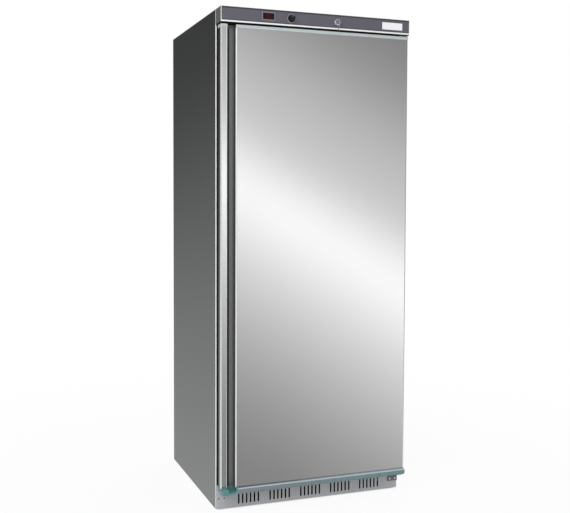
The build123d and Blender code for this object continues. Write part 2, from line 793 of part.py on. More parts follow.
def display_case():
    """Thermometer case: a rim in front of the fascia and a box behind it, open in front."""
    wide, tall = DISPLAY_SIZE
    middle = Pos(DISPLAY_X, FASCIA_BOTTOM + DISPLAY_RISE)
    face = Rectangle(wide + 2 * BEZEL_RIM, tall + 2 * BEZEL_RIM)
    rim = inward(middle * face, (-FASCIA_REACH - BEZEL_PROUD, -FASCIA_REACH))
    rim = chamfer(rim.faces().sort_by(Axis.Y)[0].edges(), BEZEL_PROUD / 2)
    box = inward(
        middle * Rectangle(wide + BEZEL_RIM, tall + BEZEL_RIM),
        (-FASCIA_REACH, FASCIA_INSIDE + MODULE_DEPTH),
    )
    mouth = inward(middle * Rectangle(wide, tall), (-FASCIA_REACH - 2 * BEZEL_PROUD, DISPLAY_SILL))
    hollow = inward(
        middle * Rectangle(wide - MODULE_WALL, tall - MODULE_WALL),
        (-FASCIA_REACH, FASCIA_INSIDE + MODULE_DEPTH - MODULE_WALL),
    )
    return (rim + box) - mouth - hollow


def display_window():
    """Dark window set into the bezel."""
    wide, tall = DISPLAY_SIZE
    middle = Pos(DISPLAY_X, FASCIA_BOTTOM + DISPLAY_RISE)
    return inward(middle * Rectangle(wide, tall), (DISPLAY_SILL - WINDOW_THICK, DISPLAY_SILL))


def label_plate():
    """Bare plate at the fascia's right end."""
    plate = Pos(LABEL_X, CONTROL_Z) * cut_corners(*LABEL_SIZE, LABEL_CORNER)
    return inward(plate, (-FASCIA_REACH - LABEL_THICK, -FASCIA_REACH))


# Thermostat


def thermostat_body():
    """Switch case behind the fascia, with the stem that its shaft turns in."""
    wide, deep, tall = THERMOSTAT_BOX
    case = block(
        around(THERMOSTAT_X, wide),
        (FASCIA_INSIDE, FASCIA_INSIDE + deep),
        around(CONTROL_Z, tall),
    )
    stem = bar_y(THERMOSTAT_X, CONTROL_Z, (-FASCIA_REACH, FASCIA_INSIDE), THERMOSTAT_STEM)
    bore = (-FASCIA_REACH - SKIN, -FASCIA_REACH + SHAFT_LENGTH)
    return (case + stem) - rod_y(THERMOSTAT_X, CONTROL_Z, bore, SHAFT_DIAMETER + 2 * RUN)


def thermostat_shaft():
    """Shaft that the knob turns."""
    front = -FASCIA_REACH - REST - KNOB_HEIGHT / 2
    back = -FASCIA_REACH + SHAFT_LENGTH - REST
    return rod_y(THERMOSTAT_X, CONTROL_Z, (front, back), SHAFT_DIAMETER)


def thermostat_knob():
    """Tapered knob with a skirt and a pointer groove, drawn on Z and laid forward."""
    skirt = upright(RegularPolygon(KNOB_DIAMETER / 2, FINE_FACETS), (0, KNOB_SKIRT))
    grip = Pos(0, 0, KNOB_SKIRT) * RegularPolygon(KNOB_GRIP / 2, FINE_FACETS)
    form = skirt + extrude(grip, KNOB_HEIGHT - KNOB_SKIRT, taper=KNOB_TAPER)
    wide, deep = POINTER
    groove = block(around(0, wide), (0, KNOB_DIAMETER), (KNOB_HEIGHT - deep, KNOB_HEIGHT + deep))
    socket = bar_z(0, 0, (-deep, KNOB_HEIGHT / 2), SHAFT_DIAMETER)
    place = Pos(THERMOSTAT_X, -FASCIA_REACH - REST, CONTROL_Z)
    return place * Rot(90, 0, 0) * (form - groove - socket)


# Lock and keys


def lock_barrel():
    """Flanged barrel through the fascia."""
    flange = bar_y(LOCK_X, CONTROL_Z, (LOCK_FRONT, -FASCIA_REACH), LOCK_FACE, FINE_FACETS)
    barrel = bar_y(LOCK_X, CONTROL_Z, (-FASCIA_REACH, LOCK_FRONT + LOCK_DEPTH), LOCK_BODY)
    bore = rod_y(LOCK_X, CONTROL_Z, (2 * LOCK_FRONT, 0), LOCK_ROTOR + 2 * RUN)
    return (flange + barrel) - bore


def lock_rotor():
    """Rotor that the key turns, slotted for the key."""
    rotor = rod_y(LOCK_X, CONTROL_Z, (LOCK_FRONT, CAM_FRONT), LOCK_ROTOR)
    height, length = KEY_BLADE
    keyway = block(
        around(LOCK_X, KEY_THICK + 2 * FIT),
        (LOCK_FRONT - SKIN, LOCK_FRONT + length + FIT),
        around(CONTROL_Z, height + 2 * FIT),
    )
    return rotor - keyway


def lock_bolt():
    """Bolt plate on the rotor's inner end. It lies level, and hangs down when locked."""
    shape = cut_corners(CAM_LENGTH + CAM_WIDTH / 2, CAM_WIDTH, CAM_WIDTH / 4)
    place = Pos(LOCK_X + (CAM_LENGTH - CAM_WIDTH / 2) / 2, CONTROL_Z)
    return inward(place * shape, (CAM_FRONT, CAM_FRONT + CAM_THICK))


def key_shape(bow, blade, hole):
    """Flat key seen from the side, about the middle of its bow, with a hole at a given place."""
    height, length = blade
    reach = bow / 2 + length
    shank = Pos(reach / 2, 0) * Rectangle(reach, height)
    body = eight_sided(bow) + shank
    tip = Pos(reach, -height / 2) * Rot(0, 0, 45) * Rectangle(height / 2, height / 2)
    return body - tip - Pos(*hole) * faceted(KEY_HOLE, HOLE_FACETS)


def lock_key():
    """Key left in the lock."""
    shape = Pos(KEY_Y, CONTROL_Z) * key_shape(KEY_BOW, KEY_BLADE, (0, KEY_HOLE_RISE))
    return across(shape, around(LOCK_X, KEY_THICK))


def key_ring():
    """Flat split ring through the key's bow."""
    outer = 2 * RING_RADIUS + RING_WIRE
    ring = faceted(outer, FINE_FACETS) - faceted(outer - 2 * RING_WIRE, FINE_FACETS)
    return inward(Pos(LOCK_X, RING_Z) * ring, around(KEY_Y, RING_WIRE))


def spare_key():
    """Short spare key that hangs from the ring, blade down."""
    hung = Rot(0, 0, -90) * key_shape(SPARE_BOW, SPARE_BLADE, (-SPARE_HOLE_RISE, 0))
    return across(Pos(KEY_Y, SPARE_HOLE_Z - SPARE_HOLE_RISE) * hung, around(LOCK_X, KEY_THICK))


# Door


def door_plan(grow):
    """The door's outline seen from above, with the finger recess of the full-height grip."""
    left = -HALF
    right = DOOR_RIGHT + grow
    face = -DOOR_FACE - grow
    points = [
        (left, face),
        (MOUTH_LEFT, face),
        (MOUTH_LEFT, RECESS_FLOOR),
        (MOUTH_RIGHT, RECESS_FLOOR),
        (MOUTH_RIGHT, face),
        (right, face),
        (right, -DOOR_BACK),
        (left, -DOOR_BACK),
    ]
    return outline(points, [GRIP_CORNER, 0, 0, 0, MOUTH_CORNER, DOOR_CORNER, 0, 0])


def door_skin():
    """Folded outer sheet, from the recess round the right edge to the back."""
    half_sheet = DOOR_SKIN / 2
    left = MOUTH_RIGHT + half_sheet
    right = DOOR_RIGHT - half_sheet
    face = -DOOR_FACE + half_sheet
    back = -DOOR_BACK - half_sheet
    fold = right - DOOR_FOLD
    path = [(left, RECESS_FLOOR), (left, face), (right, face), (right, back), (fold, back)]
    line = FilletPolyline(*path, radius=[MOUTH_CORNER, DOOR_CORNER, 0])
    return upright(trace(line, line_width=DOOR_SKIN), (PANEL_BOTTOM, PANEL_TOP))


def grip_profile():
    """Extruded grip strip with a lip, wrapped round the door's left edge to the back."""
    half_wall = GRIP_WALL / 2
    left = -HALF + half_wall
    lip = MOUTH_LEFT - half_wall
    face = -DOOR_FACE + half_wall
    back = -DOOR_BACK - half_wall
    fold = left + GRIP_FOLD
    path = [(lip, face + GRIP_LIP), (lip, face), (left, face), (left, back), (fold, back)]
    line = FilletPolyline(*path, radius=[GRIP_CORNER, GRIP_CORNER, 0])
    return upright(trace(line, line_width=GRIP_WALL), (PANEL_BOTTOM, PANEL_TOP))


def recess_plate():
    """Flat back of the finger recess, from the grip profile to a tongue behind the skin."""
    x = (-HALF + GRIP_WALL, MOUTH_RIGHT + RECESS_TONGUE)
    return block(x, (RECESS_FLOOR, RECESS_FLOOR + GRIP_WALL), (PANEL_BOTTOM, PANEL_TOP))


def door_liner_form(inset):
    """Back of the door: a rim round the gasket and a raised panel, smaller by the inset."""
    half = GASKET_HALF + LINER_RIM - inset
    z = (GASKET_Z[0] - LINER_RIM + inset, GASKET_Z[1] + LINER_RIM - inset)
    rim = block((-half, half), (-DOOR_BACK, GASKET_BASE - inset), z)
    wide = 2 * (CELL_HALF - PILLOW_INSET - inset)
    pillow_z = (CELL_FLOOR + PILLOW_INSET + inset, OPENING_TOP - PILLOW_INSET - inset)
    plan = cut_corners(wide, pillow_z[1] - pillow_z[0], PILLOW_CORNER)
    y = (-DOOR_BACK, GASKET_BASE + PILLOW_RISE - inset)
    pillow = inward(Pos(0, sum(pillow_z) / 2) * plan, y)
    return rim + chamfer(pillow.faces().sort_by(Axis.Y)[-1].edges(), PILLOW_EDGE)


def door_liner():
    """Moulded inner panel of the door, open towards the foam."""
    return door_liner_form(0) - door_liner_form(DOOR_LINER_WALL)


def door_foam():
    """Insulation between the skin, the recess plate and the inner panel."""
    skin_left = MOUTH_RIGHT + DOOR_SKIN
    skin_right = DOOR_RIGHT - DOOR_SKIN
    front = -DOOR_FACE + DOOR_SKIN
    grip_left = -HALF + GRIP_WALL
    skin_fold = DOOR_RIGHT - DOOR_SKIN / 2 - DOOR_FOLD
    grip_fold = -HALF + GRIP_WALL / 2 + GRIP_FOLD
    tongue = MOUTH_RIGHT + RECESS_TONGUE
    points = [
        (skin_left, front),
        (skin_right, front),
        (skin_right, -DOOR_BACK - DOOR_SKIN),
        (skin_fold, -DOOR_BACK - DOOR_SKIN),
        (skin_fold, -DOOR_BACK),
        (grip_fold, -DOOR_BACK),
        (grip_fold, -DOOR_BACK - GRIP_WALL),
        (grip_left, -DOOR_BACK - GRIP_WALL),
        (grip_left, RECESS_FLOOR + GRIP_WALL),
        (tongue, RECESS_FLOOR + GRIP_WALL),
        (tongue, RECESS_FLOOR),
        (skin_left, RECESS_FLOOR),
    ]
    radii = [MOUTH_CORNER, DOOR_CORNER] + (len(points) - 2) * [0]
    core = upright(outline(points, radii), (PANEL_BOTTOM, PANEL_TOP))
    return core + door_liner_form(DOOR_LINER_WALL)


def seal_ring(inset, width, y):
    """A rectangular ring round the opening, set in from the gasket's outer edge."""
    half = GASKET_HALF - inset
    z = (GASKET_Z[0] + inset, GASKET_Z[1] - inset)
    outer = block((-half, half), y, z)
    inner_y = (y[0] - SKIN, y[1] + SKIN)
    return outer - block((-half + width, half - width), inner_y, (z[0] + width, z[1] - width))


def magnet_pocket():
    """Inset and depth of the gasket's magnet pocket."""
    wide, deep = MAGNET
    inset = (GASKET_WIDTH - wide) / 2
    front = -REST - GASKET_WALL - deep
    return inset, (front, front + deep)


def door_gasket():
    """Rubber gasket: a base strip, two thin bellows walls and a pocket for the magnet."""
    wide = MAGNET[0]
    inset, pocket_y = magnet_pocket()
    base = seal_ring(0, GASKET_WIDTH, (GASKET_BASE, GASKET_BASE + GASKET_WALL))
    pocket = seal_ring(inset - GASKET_WALL, wide + 2 * GASKET_WALL, (pocket_y[0] - GASKET_WALL, -REST))
    wall_y = (GASKET_BASE, pocket_y[0])
    outer_wall = seal_ring(inset, GASKET_WALL, wall_y)
    inner_wall = seal_ring(inset + wide - GASKET_WALL, GASKET_WALL, wall_y)
    return (base + pocket + outer_wall + inner_wall) - seal_ring(inset, wide, pocket_y)


def gasket_magnets():
    """Four magnet strips in the gasket's pocket."""
    wide = MAGNET[0]
    inset, y = magnet_pocket()
    half = GASKET_HALF - inset
    z = (GASKET_Z[0] + inset, GASKET_Z[1] - inset)
    upright_strip = block((-half, -half + wide), y, z)
    reach = half - wide
    low = block((-reach, reach), y, (z[0], z[0] + wide))
    high = block((-reach, reach), y, (z[1] - wide, z[1]))
    return [upright_strip, mirrored(upright_strip), low, high]


def bush_hole(z):
    """Cutter for a hinge bush."""
    return bar_z(HINGE_X, HINGE_Y, z, BUSH_DIAMETER)


def door_top_cap():
    """Moulded cap over the door's top, hollow below, with the keeper's seat and slot."""
    solid = upright(door_plan(CAP_PROUD), (PANEL_TOP, DOOR_TOP))
    solid = chamfer(solid.faces().sort_by(Axis.Z)[-1].edges(), CAP_EDGE / 2)
    hollow = block(
        (MOUTH_RIGHT + MOUTH_CORNER, DOOR_RIGHT - DOOR_CORNER),
        (-DOOR_FACE + CAP_WALL, -DOOR_BACK - CAP_WALL),
        (PANEL_TOP - SKIN, DOOR_TOP - CAP_WALL),
    )
    boss = bar_z(HINGE_X, HINGE_Y, (PANEL_TOP, DOOR_TOP - CAP_WALL), BUSH_BOSS)
    wide, deep, thick = KEEPER
    seat = block(around(SLOT_X, wide), around(CAM_Y, deep), (DOOR_TOP - thick, DOOR_TOP + SKIN))
    slot = block(around(SLOT_X, SLOT[0]), around(CAM_Y, SLOT[1]), (PANEL_TOP, DOOR_TOP + SKIN))
    cap = (solid - hollow) + (boss & upright(door_plan(0), (PANEL_TOP, DOOR_TOP)))
    return cap - seat - slot - bush_hole((DOOR_TOP - TOP_BUSH_DEPTH, DOOR_TOP + SKIN))


def lock_keeper():
    """Steel plate round the slot that the lock's bolt drops into."""
    wide, deep, thick = KEEPER
    plate = block(around(SLOT_X, wide), around(CAM_Y, deep), (DOOR_TOP - thick, DOOR_TOP))
    return plate - block(around(SLOT_X, SLOT[0]), around(CAM_Y, SLOT[1]), (0, HEIGHT))


def bottom_cap_plan():
    """The bottom cap from above: a ledge ahead of the door, and a nose under the grip."""
    ledge = -DOOR_FACE - LEDGE_REACH
    nose = -DOOR_FACE - NOSE_REACH
    right = DOOR_RIGHT + CAP_PROUD
    nose_x = -HALF + NOSE_WIDTH
    blend_x = nose_x + NOSE_REACH
    points = [
        (-HALF, nose),
        (nose_x, nose),
        (blend_x, ledge),
        (right, ledge),
        (right, 0),
        (-HALF, 0),
    ]
    return outline(points, [DOOR_CORNER, NOSE_BLEND, NOSE_BLEND, DOOR_CORNER, 0, 0])


def door_bottom_cap():
    """Moulded cap under the door, hollow above, with a scoop below the finger recess."""
    plain = upright(bottom_cap_plan(), (DOOR_BOTTOM, PANEL_BOTTOM))
    levels = plain.faces().sort_by(Axis.Z)
    rounded = chamfer(levels[0].edges() + levels[-1].edges(), LEDGE_ROUND)
    all_x = (-HALF, HALF)
    under_panel = block(all_x, (-DOOR_FACE, -DOOR_BACK), (DOOR_BOTTOM + LEDGE_ROUND, PANEL_BOTTOM))
    solid = rounded - block(all_x, (-DOOR_BACK, SKIN), (0, HEIGHT)) + (plain & under_panel)
    hollow = block(
        (MOUTH_RIGHT + MOUTH_CORNER, DOOR_RIGHT - DOOR_CORNER),
        (-DOOR_FACE + CAP_WALL, -DOOR_BACK - CAP_WALL),
        (DOOR_BOTTOM + CAP_WALL, PANEL_BOTTOM + SKIN),
    )
    boss = bar_z(HINGE_X, HINGE_Y, (DOOR_BOTTOM, DOOR_BOTTOM + BUSH_DEPTH), BUSH_BOSS)
    scoop = block(
        (MOUTH_LEFT, MOUTH_RIGHT),
        (-2 * DOOR_FACE, RECESS_FLOOR),
        (PANEL_BOTTOM - SCOOP_DEPTH, PANEL_BOTTOM + SKIN),
    )
    cap = (solid - hollow) + (boss & upright(door_plan(0), (DOOR_BOTTOM, PANEL_BOTTOM)))
    return cap - scoop - bush_hole((DOOR_BOTTOM - SKIN, DOOR_BOTTOM + BUSH_DEPTH))


def hinge_bush(sleeve, flange):
    """Flanged bush between a span of sleeve and a span of flange, bored for the pin."""
    body = bar_z(HINGE_X, HINGE_Y, sleeve, BUSH_DIAMETER) + bar_z(HINGE_X, HINGE_Y, flange, BUSH_FLANGE)
    return body - rod_z(HINGE_X, HINGE_Y, (0, HEIGHT), PIN_DIAMETER + 2 * RUN)


def lower_bush():
    """Bush in the bottom cap, whose flange runs on the bracket."""
    return hinge_bush((DOOR_BOTTOM, DOOR_BOTTOM + BUSH_DEPTH), (BRACKET_TOP + REST, DOOR_BOTTOM))


def upper_bush():
    """Bush in the top cap, under the top bracket."""
    under_bracket = FASCIA_BOTTOM - BRACKET_THICK
    return hinge_bush((DOOR_TOP - TOP_BUSH_DEPTH, DOOR_TOP), (DOOR_TOP, under_bracket - REST))


# Hinge brackets and pins


def hinge_bracket(path, x):
    """Folded bracket with its front corners cut across and a hole for its pin."""
    bracket = across(bent(path, BRACKET_THICK, BRACKET_BEND), x)
    corners = bracket.edges().filter_by(Axis.Z).sort_by(Axis.Y)[:2]
    bracket = chamfer(corners, BRACKET_CORNER)
    return bracket - bar_z(HINGE_X, HINGE_Y, (0, HEIGHT), PIN_DIAMETER)


def bottom_bracket():
    """Bracket screwed to the plinth, under the door."""
    upright_y = -PLINTH_SHEET - BRACKET_THICK / 2
    level_z = BRACKET_TOP - BRACKET_THICK / 2
    low = BRACKET_TOP - BRACKET_DROP
    path = [(upright_y, low), (upright_y, level_z), (-BRACKET_REACH, level_z)]
    bracket = hinge_bracket(path, (HALF - BRACKET_WIDTH, HALF))
    return bracket - hinge_holes(1, (-2 * BRACKET_THICK, 0))


def top_bracket():
    """Bracket on the cabinet's head, hidden behind the fascia."""
    upright_y = -BRACKET_THICK / 2
    level_z = FASCIA_BOTTOM - BRACKET_THICK / 2
    high = FASCIA_BOTTOM + TOP_BRACKET_RISE
    path = [(upright_y, high), (upright_y, level_z), (-BRACKET_REACH, level_z)]
    bracket = hinge_bracket(path, (HALF - BRACKET_WIDTH, HALF - TOP_BRACKET_INSET))
    return bracket - top_screw_holes((-2 * BRACKET_THICK, SKIN))


def lower_pin():
    """Hinge pin headed under the bottom bracket."""
    diameter, head = PIN_HEAD
    under = BRACKET_TOP - BRACKET_THICK
    shank = rod_z(HINGE_X, HINGE_Y, (under, DOOR_BOTTOM + BUSH_DEPTH - PIN_SHORT), PIN_DIAMETER)
    return shank + bar_z(HINGE_X, HINGE_Y, (under - head, under), diameter)


def upper_pin():
    """Hinge pin headed on the top bracket."""
    diameter, head = PIN_HEAD
    tip = DOOR_TOP - TOP_BUSH_DEPTH + PIN_SHORT
    shank = rod_z(HINGE_X, HINGE_Y, (tip, FASCIA_BOTTOM), PIN_DIAMETER)
    return shank + bar_z(HINGE_X, HINGE_Y, (FASCIA_BOTTOM, FASCIA_BOTTOM + head), diameter)


def screw(x, z, face, outward):
    """A hexagon screw along Y. Its head stands on the face, on the outward side."""
    diameter, height = SCREW_HEAD
    shank, length = SCREW_SHANK
    head_y = sorted((face, face + outward * height))
    shank_y = sorted((face, face - outward * length))
    head = bar_y(x, z, head_y, diameter, SCREW_FACETS)
    return head + bar_y(x, z, shank_y, shank, SCREW_FACETS)


def all_screws():
    """Screws of the two hinge brackets and of the service cover."""
    lower_x = HALF - HINGE_SCREW_INSET
    bracket_face = -PLINTH_SHEET - BRACKET_THICK
    lower = [screw(x, HINGE_SCREW_Z, bracket_face, -1) for x in (lower_x, lower_x - HINGE_SPACING)]
    upper = [screw(x, z, -BRACKET_THICK, -1) for x, z in top_screw_places()]
    back = [screw(x, z, BODY_DEPTH + SKIN, 1) for x, z in service_screw_places()]
    return lower + upper + back


# Shelves and racks


def ledge_height(row):
    """Upper face of one row of ledges."""
    return FIRST_LEDGE + row * LEDGE_PITCH


def shelf_rack():
    """Left shelf rack, a moulded strip with tapered ledges."""
    wall = -CELL_HALF
    root = wall + RACK_WALL
    tip = wall + LEDGE_WIDTH
    top = ledge_height(LEDGE_ROWS - 1) + RACK_FOOT
    low = STEP_Z + REST
    profile = Pos(wall + RACK_WALL / 2, (low + top) / 2) * Rectangle(RACK_WALL, top - low)
    ledges = []
    for row in range(LEDGE_ROWS):
        z = ledge_height(row)
        under = z - LEDGE_ROOT
        points = [(wall, z), (tip, z), (tip, z - LEDGE_TIP), (root, under), (wall, under)]
        ledges.append(make_face(Polyline(*points, close=True)))
    return inward(profile + ledges, (RACK_FRONT, RACK_BACK))


def wire_shelf(row):
    """Wire shelf: an eight-sided frame, square wires welded into it and flat stays below."""
    half = SHELF_WIDTH / 2
    radius = SHELF_ROD / 2
    z = ledge_height(row) + REST + radius
    ends = (SHELF_FRONT, SHELF_FRONT + SHELF_DEPTH)
    rod = eight_sided(SHELF_ROD)
    side = inward(Pos(half - radius, z) * rod, ends)
    front = across(Pos(ends[0] + radius, z) * rod, (-half + radius, half - radius))
    back = across(Pos(ends[1] - radius, z) * rod, (-half + radius, half - radius))
    pitch = (SHELF_WIDTH - SHELF_ROD) / (SHELF_WIRES + 1)
    wires = [
        block(
            around((number - (SHELF_WIRES - 1) / 2) * pitch, SHELF_WIRE),
            (ends[0] + radius, ends[1] - radius),
            around(z, SHELF_WIRE),
        )
        for number in range(SHELF_WIRES)
    ]
    return side + mirrored(side) + front + back + wires


def shelf_stays(row):
    """Flat stays under the wires of a shelf, clear of the racks."""
    wide, thick = SHELF_STAY
    half = CELL_HALF - LEDGE_WIDTH - SHELF_ROD
    top = ledge_height(row) + REST + (SHELF_ROD - SHELF_WIRE) / 2
    places = [SHELF_FRONT + share * SHELF_DEPTH for share in SHELF_STAYS]
    return [block((-half, half), around(y, wide), (top - thick, top)) for y in places]


# Cold unit under the ceiling


def cover_section(inset):
    """Side view of the cold unit's cover, smaller by the inset at the front and below."""
    front = COVER_FRONT + inset
    low = COVER_Z + inset
    slope = COVER_FRONT + COVER_SLOPE + inset / 2
    shoulder = COVER_Z + COVER_SLOPE + inset / 2
    points = [
        (front, CELL_CEILING),
        (front, shoulder),
        (slope, low),
        (CELL_BACK, low),
        (CELL_BACK, CELL_CEILING),
    ]
    return make_face(Polyline(*points, close=True))


def evaporator_cover():
    """Moulded cover and drip tray, with front slots and a guarded fan opening."""
    inner_half = COVER_HALF - COVER_WALL
    hollow = across(cover_section(COVER_WALL), (-inner_half, inner_half))
    shell = across(cover_section(0), (-COVER_HALF, COVER_HALF)) - hollow
    low = (COVER_Z - SKIN, COVER_Z + COVER_WALL + SKIN)
    opening = bar_z(0, AIR_FAN_Y, low, AIR_FAN + 2 * AIR_FAN_GAP, FINE_FACETS)
    slot_z = around((COVER_Z + COVER_SLOPE + CELL_CEILING) / 2, COVER_SLOT[1])
    slots = []
    for number in range(COVER_SLOTS):
        x = (number - (COVER_SLOTS - 1) / 2) * COVER_SLOT_PITCH
        y = (COVER_FRONT - SKIN, COVER_FRONT + COVER_WALL + SKIN)
        slots.append(block(around(x, COVER_SLOT[0]), y, slot_z))
    bar = Rectangle(AIR_FAN + 4 * AIR_FAN_GAP, GUARD_BAR)
    bars = [Rot(0, 0, number * 180 / GUARD_BARS) * bar for number in range(GUARD_BARS)]
    guard = Pos(0, AIR_FAN_Y) * (faceted(GUARD_HUB, FACETS) + bars)
    cover = (shell - opening - slots) + upright(guard, (COVER_Z, COVER_Z + COVER_WALL))
    return cover & cell_form(0, FRAME_LIP)


def finned_block(x, y, z, count, air):
    """A plate-fin coil: a block with air grooves from front and back between its fins."""
    core = Pos(sum(x) / 2, sum(y) / 2) * Rectangle(x[1] - x[0], y[1] - y[0])
    pitch = (x[1] - x[0]) / count
    grooves = []
    for number in range(1, count):
        for side in y:
            grooves.append(Pos(x[0] + number * pitch, side) * Rectangle(FIN_GROOVE, 2 * air))
    return upright(core - grooves, z)


def evaporator_coil():
    """Finned coil at the back of the cold unit, standing in the drip tray."""
    back = CELL_BACK - COIL_GAP
    half = COVER_HALF - COVER_WALL - COIL_GAP
    z = (COVER_Z + COVER_WALL, CELL_CEILING - COIL_GAP)
    coil = finned_block((-half, half), (back - COIL_DEPTH, back), z, COIL_FINS, COIL_DEPTH / 4)
    return coil - drain_path(DRAIN_TUBE + COIL_GAP)


def fan_wheel(diameter):
    """Axial fan on the Z axis: hub, shaft and pitched blades, the shaft standing up."""
    hub, height = FAN_HUB
    root_chord, tip_chord = FAN_CHORD
    root = hub / 2 - FAN_BLADE
    tip = diameter / 2 - FAN_BLADE
    shoulder = tip - tip_chord / 4
    plan = [
        (root, -root_chord / 2),
        (shoulder, -tip_chord / 2),
        (tip, -tip_chord / 4),
        (tip, tip_chord / 4),
        (shoulder, tip_chord / 2),
        (root, root_chord / 2),
    ]
    sheet = upright(make_face(Polyline(*plan, close=True)), around(0, FAN_BLADE))
    blade = Rot(FAN_PITCH, 0, 0) * sheet
    wheel = bar_z(0, 0, around(0, height), hub)
    wheel = wheel + [Rot(0, 0, number * 360 / FAN_BLADES) * blade for number in range(FAN_BLADES)]
    return wheel + rod_z(0, 0, (0, height / 2 + MOTOR[1] / 2), FAN_SHAFT)


def fan_motor():
    """Round motor above a fan wheel on the Z axis, bored for the fan's shaft."""
    diameter, length = MOTOR
    low = FAN_HUB[1] / 2 + REST
    body = bar_z(0, 0, (low, low + length), diameter, FINE_FACETS)
    return body - bar_z(0, 0, (0, low + length / 2 + FAN_SHAFT), FAN_SHAFT + 2 * RUN)


def evaporator_place():
    """Where the fan of the cold unit turns."""
    return Pos(0, AIR_FAN_Y, COVER_Z + COVER_WALL + FAN_HUB[1])


def evaporator_motor():
    """Motor of the cold unit's fan, hung from the ceiling on a post."""
    top = FAN_HUB[1] / 2 + REST + MOTOR[1]
    post_top = CELL_CEILING - COVER_Z - COVER_WALL - FAN_HUB[1]
    post = bar_z(0, 0, (top, post_top), MOTOR[0] / 2)
    return evaporator_place() * (fan_motor() + post)


def temperature_probe():
    """Probe in its clip on the left wall of the cold space, above the rack."""
    reach, wide, tall = PROBE_CLIP
    diameter, length = PROBE
    y = COVER_FRONT - wide
    z = COVER_Z - tall
    clip = block((-CELL_HALF, -CELL_HALF + reach), around(y, wide), around(z, tall))
    probe = bar_z(-CELL_HALF + reach - diameter / 2, y, around(z, length + tall), diameter, HOLE_FACETS)
    return clip + probe


# Cooling unit in the machine room


def motor_stand():
    """Folded stand welded to the tray, behind the condenser fan's motor."""
    motor_face = FAN_HUB[1] + FAN_HUB[1] / 2 + REST
    y = CONDENSER_BACK + motor_face + MOTOR[1] + TRAY_SHEET / 2
    foot = TRAY_TOP + TRAY_SHEET / 2
    path = [(y + MOTOR_STAND, foot), (y, foot), (y, CONDENSER_Z + MOTOR[0] / 2)]
    return across(folded(path, TRAY_SHEET), around(CONDENSER_X, MOTOR_STAND))


def machine_tray():
    """Folded tray between the floor rails."""
    level = RAIL_SHELF_Z + TRAY_SHEET / 2
    front = TRAY_FRONT + TRAY_SHEET / 2
    back = TRAY_BACK - TRAY_SHEET / 2
    path = [(front, level + TRAY_FOLD), (front, level), (back, level), (back, level + TRAY_FOLD)]
    return across(folded(path, TRAY_SHEET), (-TRAY_HALF, TRAY_HALF)) + motor_stand()


def oval(wide, deep):
    """An oval drawn with flat sides."""
    line = Ellipse(wide / 2, deep / 2).edge()
    return make_face(Polyline(*[line @ (side / FINE_FACETS) for side in range(FINE_FACETS)], close=True))


def compressor():
    """Hermetic compressor: a domed pot with a welded seam on a foot plate."""
    wide, deep = COMPRESSOR_PLAN
    pot = upright(oval(wide, deep), (0, COMPRESSOR_HEIGHT))
    pot = chamfer(pot.faces().sort_by(Axis.Z)[-1].edges(), COMPRESSOR_DOME)
    pot = chamfer(pot.faces().sort_by(Axis.Z)[0].edges(), COMPRESSOR_BASE)
    proud, height = COMPRESSOR_SEAM
    seam = upright(oval(wide + 2 * proud, deep + 2 * proud), around(COMPRESSOR_HEIGHT / 2, height))
    plate_wide, plate_deep, thick = FOOT_PLATE
    plate = upright(cut_corners(plate_wide, plate_deep, FOOT_PLATE_CORNER), (-thick, 0))
    return Pos(COMPRESSOR_X, COMPRESSOR_Y, COMPRESSOR_Z) * (pot + seam + plate)


def grommets():
    """Four rubber mounts between the tray and the compressor's foot plate."""
    diameter, height = GROMMET
    z = (TRAY_TOP, TRAY_TOP + height)
    spread_x = around(COMPRESSOR_X, FOOT_PLATE[0] - diameter)
    spread_y = around(COMPRESSOR_Y, FOOT_PLATE[1] - diameter)
    return [bar_z(x, y, z, diameter, HOLE_FACETS) for x in spread_x for y in spread_y]


def terminal_box():
    """Electrical box on the right side of the compressor."""
    reach, wide, tall = TERMINAL_BOX
    side = COMPRESSOR_X + COMPRESSOR_PLAN[0] / 2
    low = COMPRESSOR_Z + FOOT_PLATE[2]
    high = COMPRESSOR_Z + (COMPRESSOR_HEIGHT - COMPRESSOR_SEAM[1]) / 2 - REST
    box = block((side, side + reach), around(COMPRESSOR_Y, wide), (low, min(high, low + tall)))
    return chamfer(box.edges().filter_by(Axis.Z).sort_by(Axis.X)[2:], BRACKET_CORNER)


def evaporation_bowl():
    """Plastic bowl on the compressor that catches and dries the melt water."""
    wide, deep, height = BOWL
    low = COMPRESSOR_TOP
    plan = cut_corners(wide, deep, BOWL_CORNER)
    inner = cut_corners(wide - 2 * BOWL_WALL, deep - 2 * BOWL_WALL, BOWL_CORNER)
    place = Pos(COMPRESSOR_X, TRAY_BACK - BOWL_BACK_GAP - deep / 2)
    hollow = upright(place * inner, (low + BOWL_WALL, low + 2 * height))
    return upright(place * plan, (low, low + height)) - hollow


def condenser_coil():
    """Finned condenser standing on the tray behind the room's front wall."""
    y = (CONDENSER_FRONT, CONDENSER_BACK)
    z = (TRAY_TOP, TRAY_TOP + CONDENSER_HEIGHT)
    return finned_block(CONDENSER_SPAN, y, z, CONDENSER_FINS, CONDENSER_AIR)


def condenser_place():
    """Turns a fan drawn on Z so that it blows back along Y from the condenser."""
    y = CONDENSER_BACK + FAN_HUB[1]
    return Pos(CONDENSER_X, y, CONDENSER_Z) * Rot(-90, 0, 0)


def pipe_column(share):
    """X of an upright pipe, a share of the way from the condenser to the compressor."""
    left = CONDENSER_SPAN[1]
    right = COMPRESSOR_X - COMPRESSOR_PLAN[0] / 2
    return left + (right - left) * share


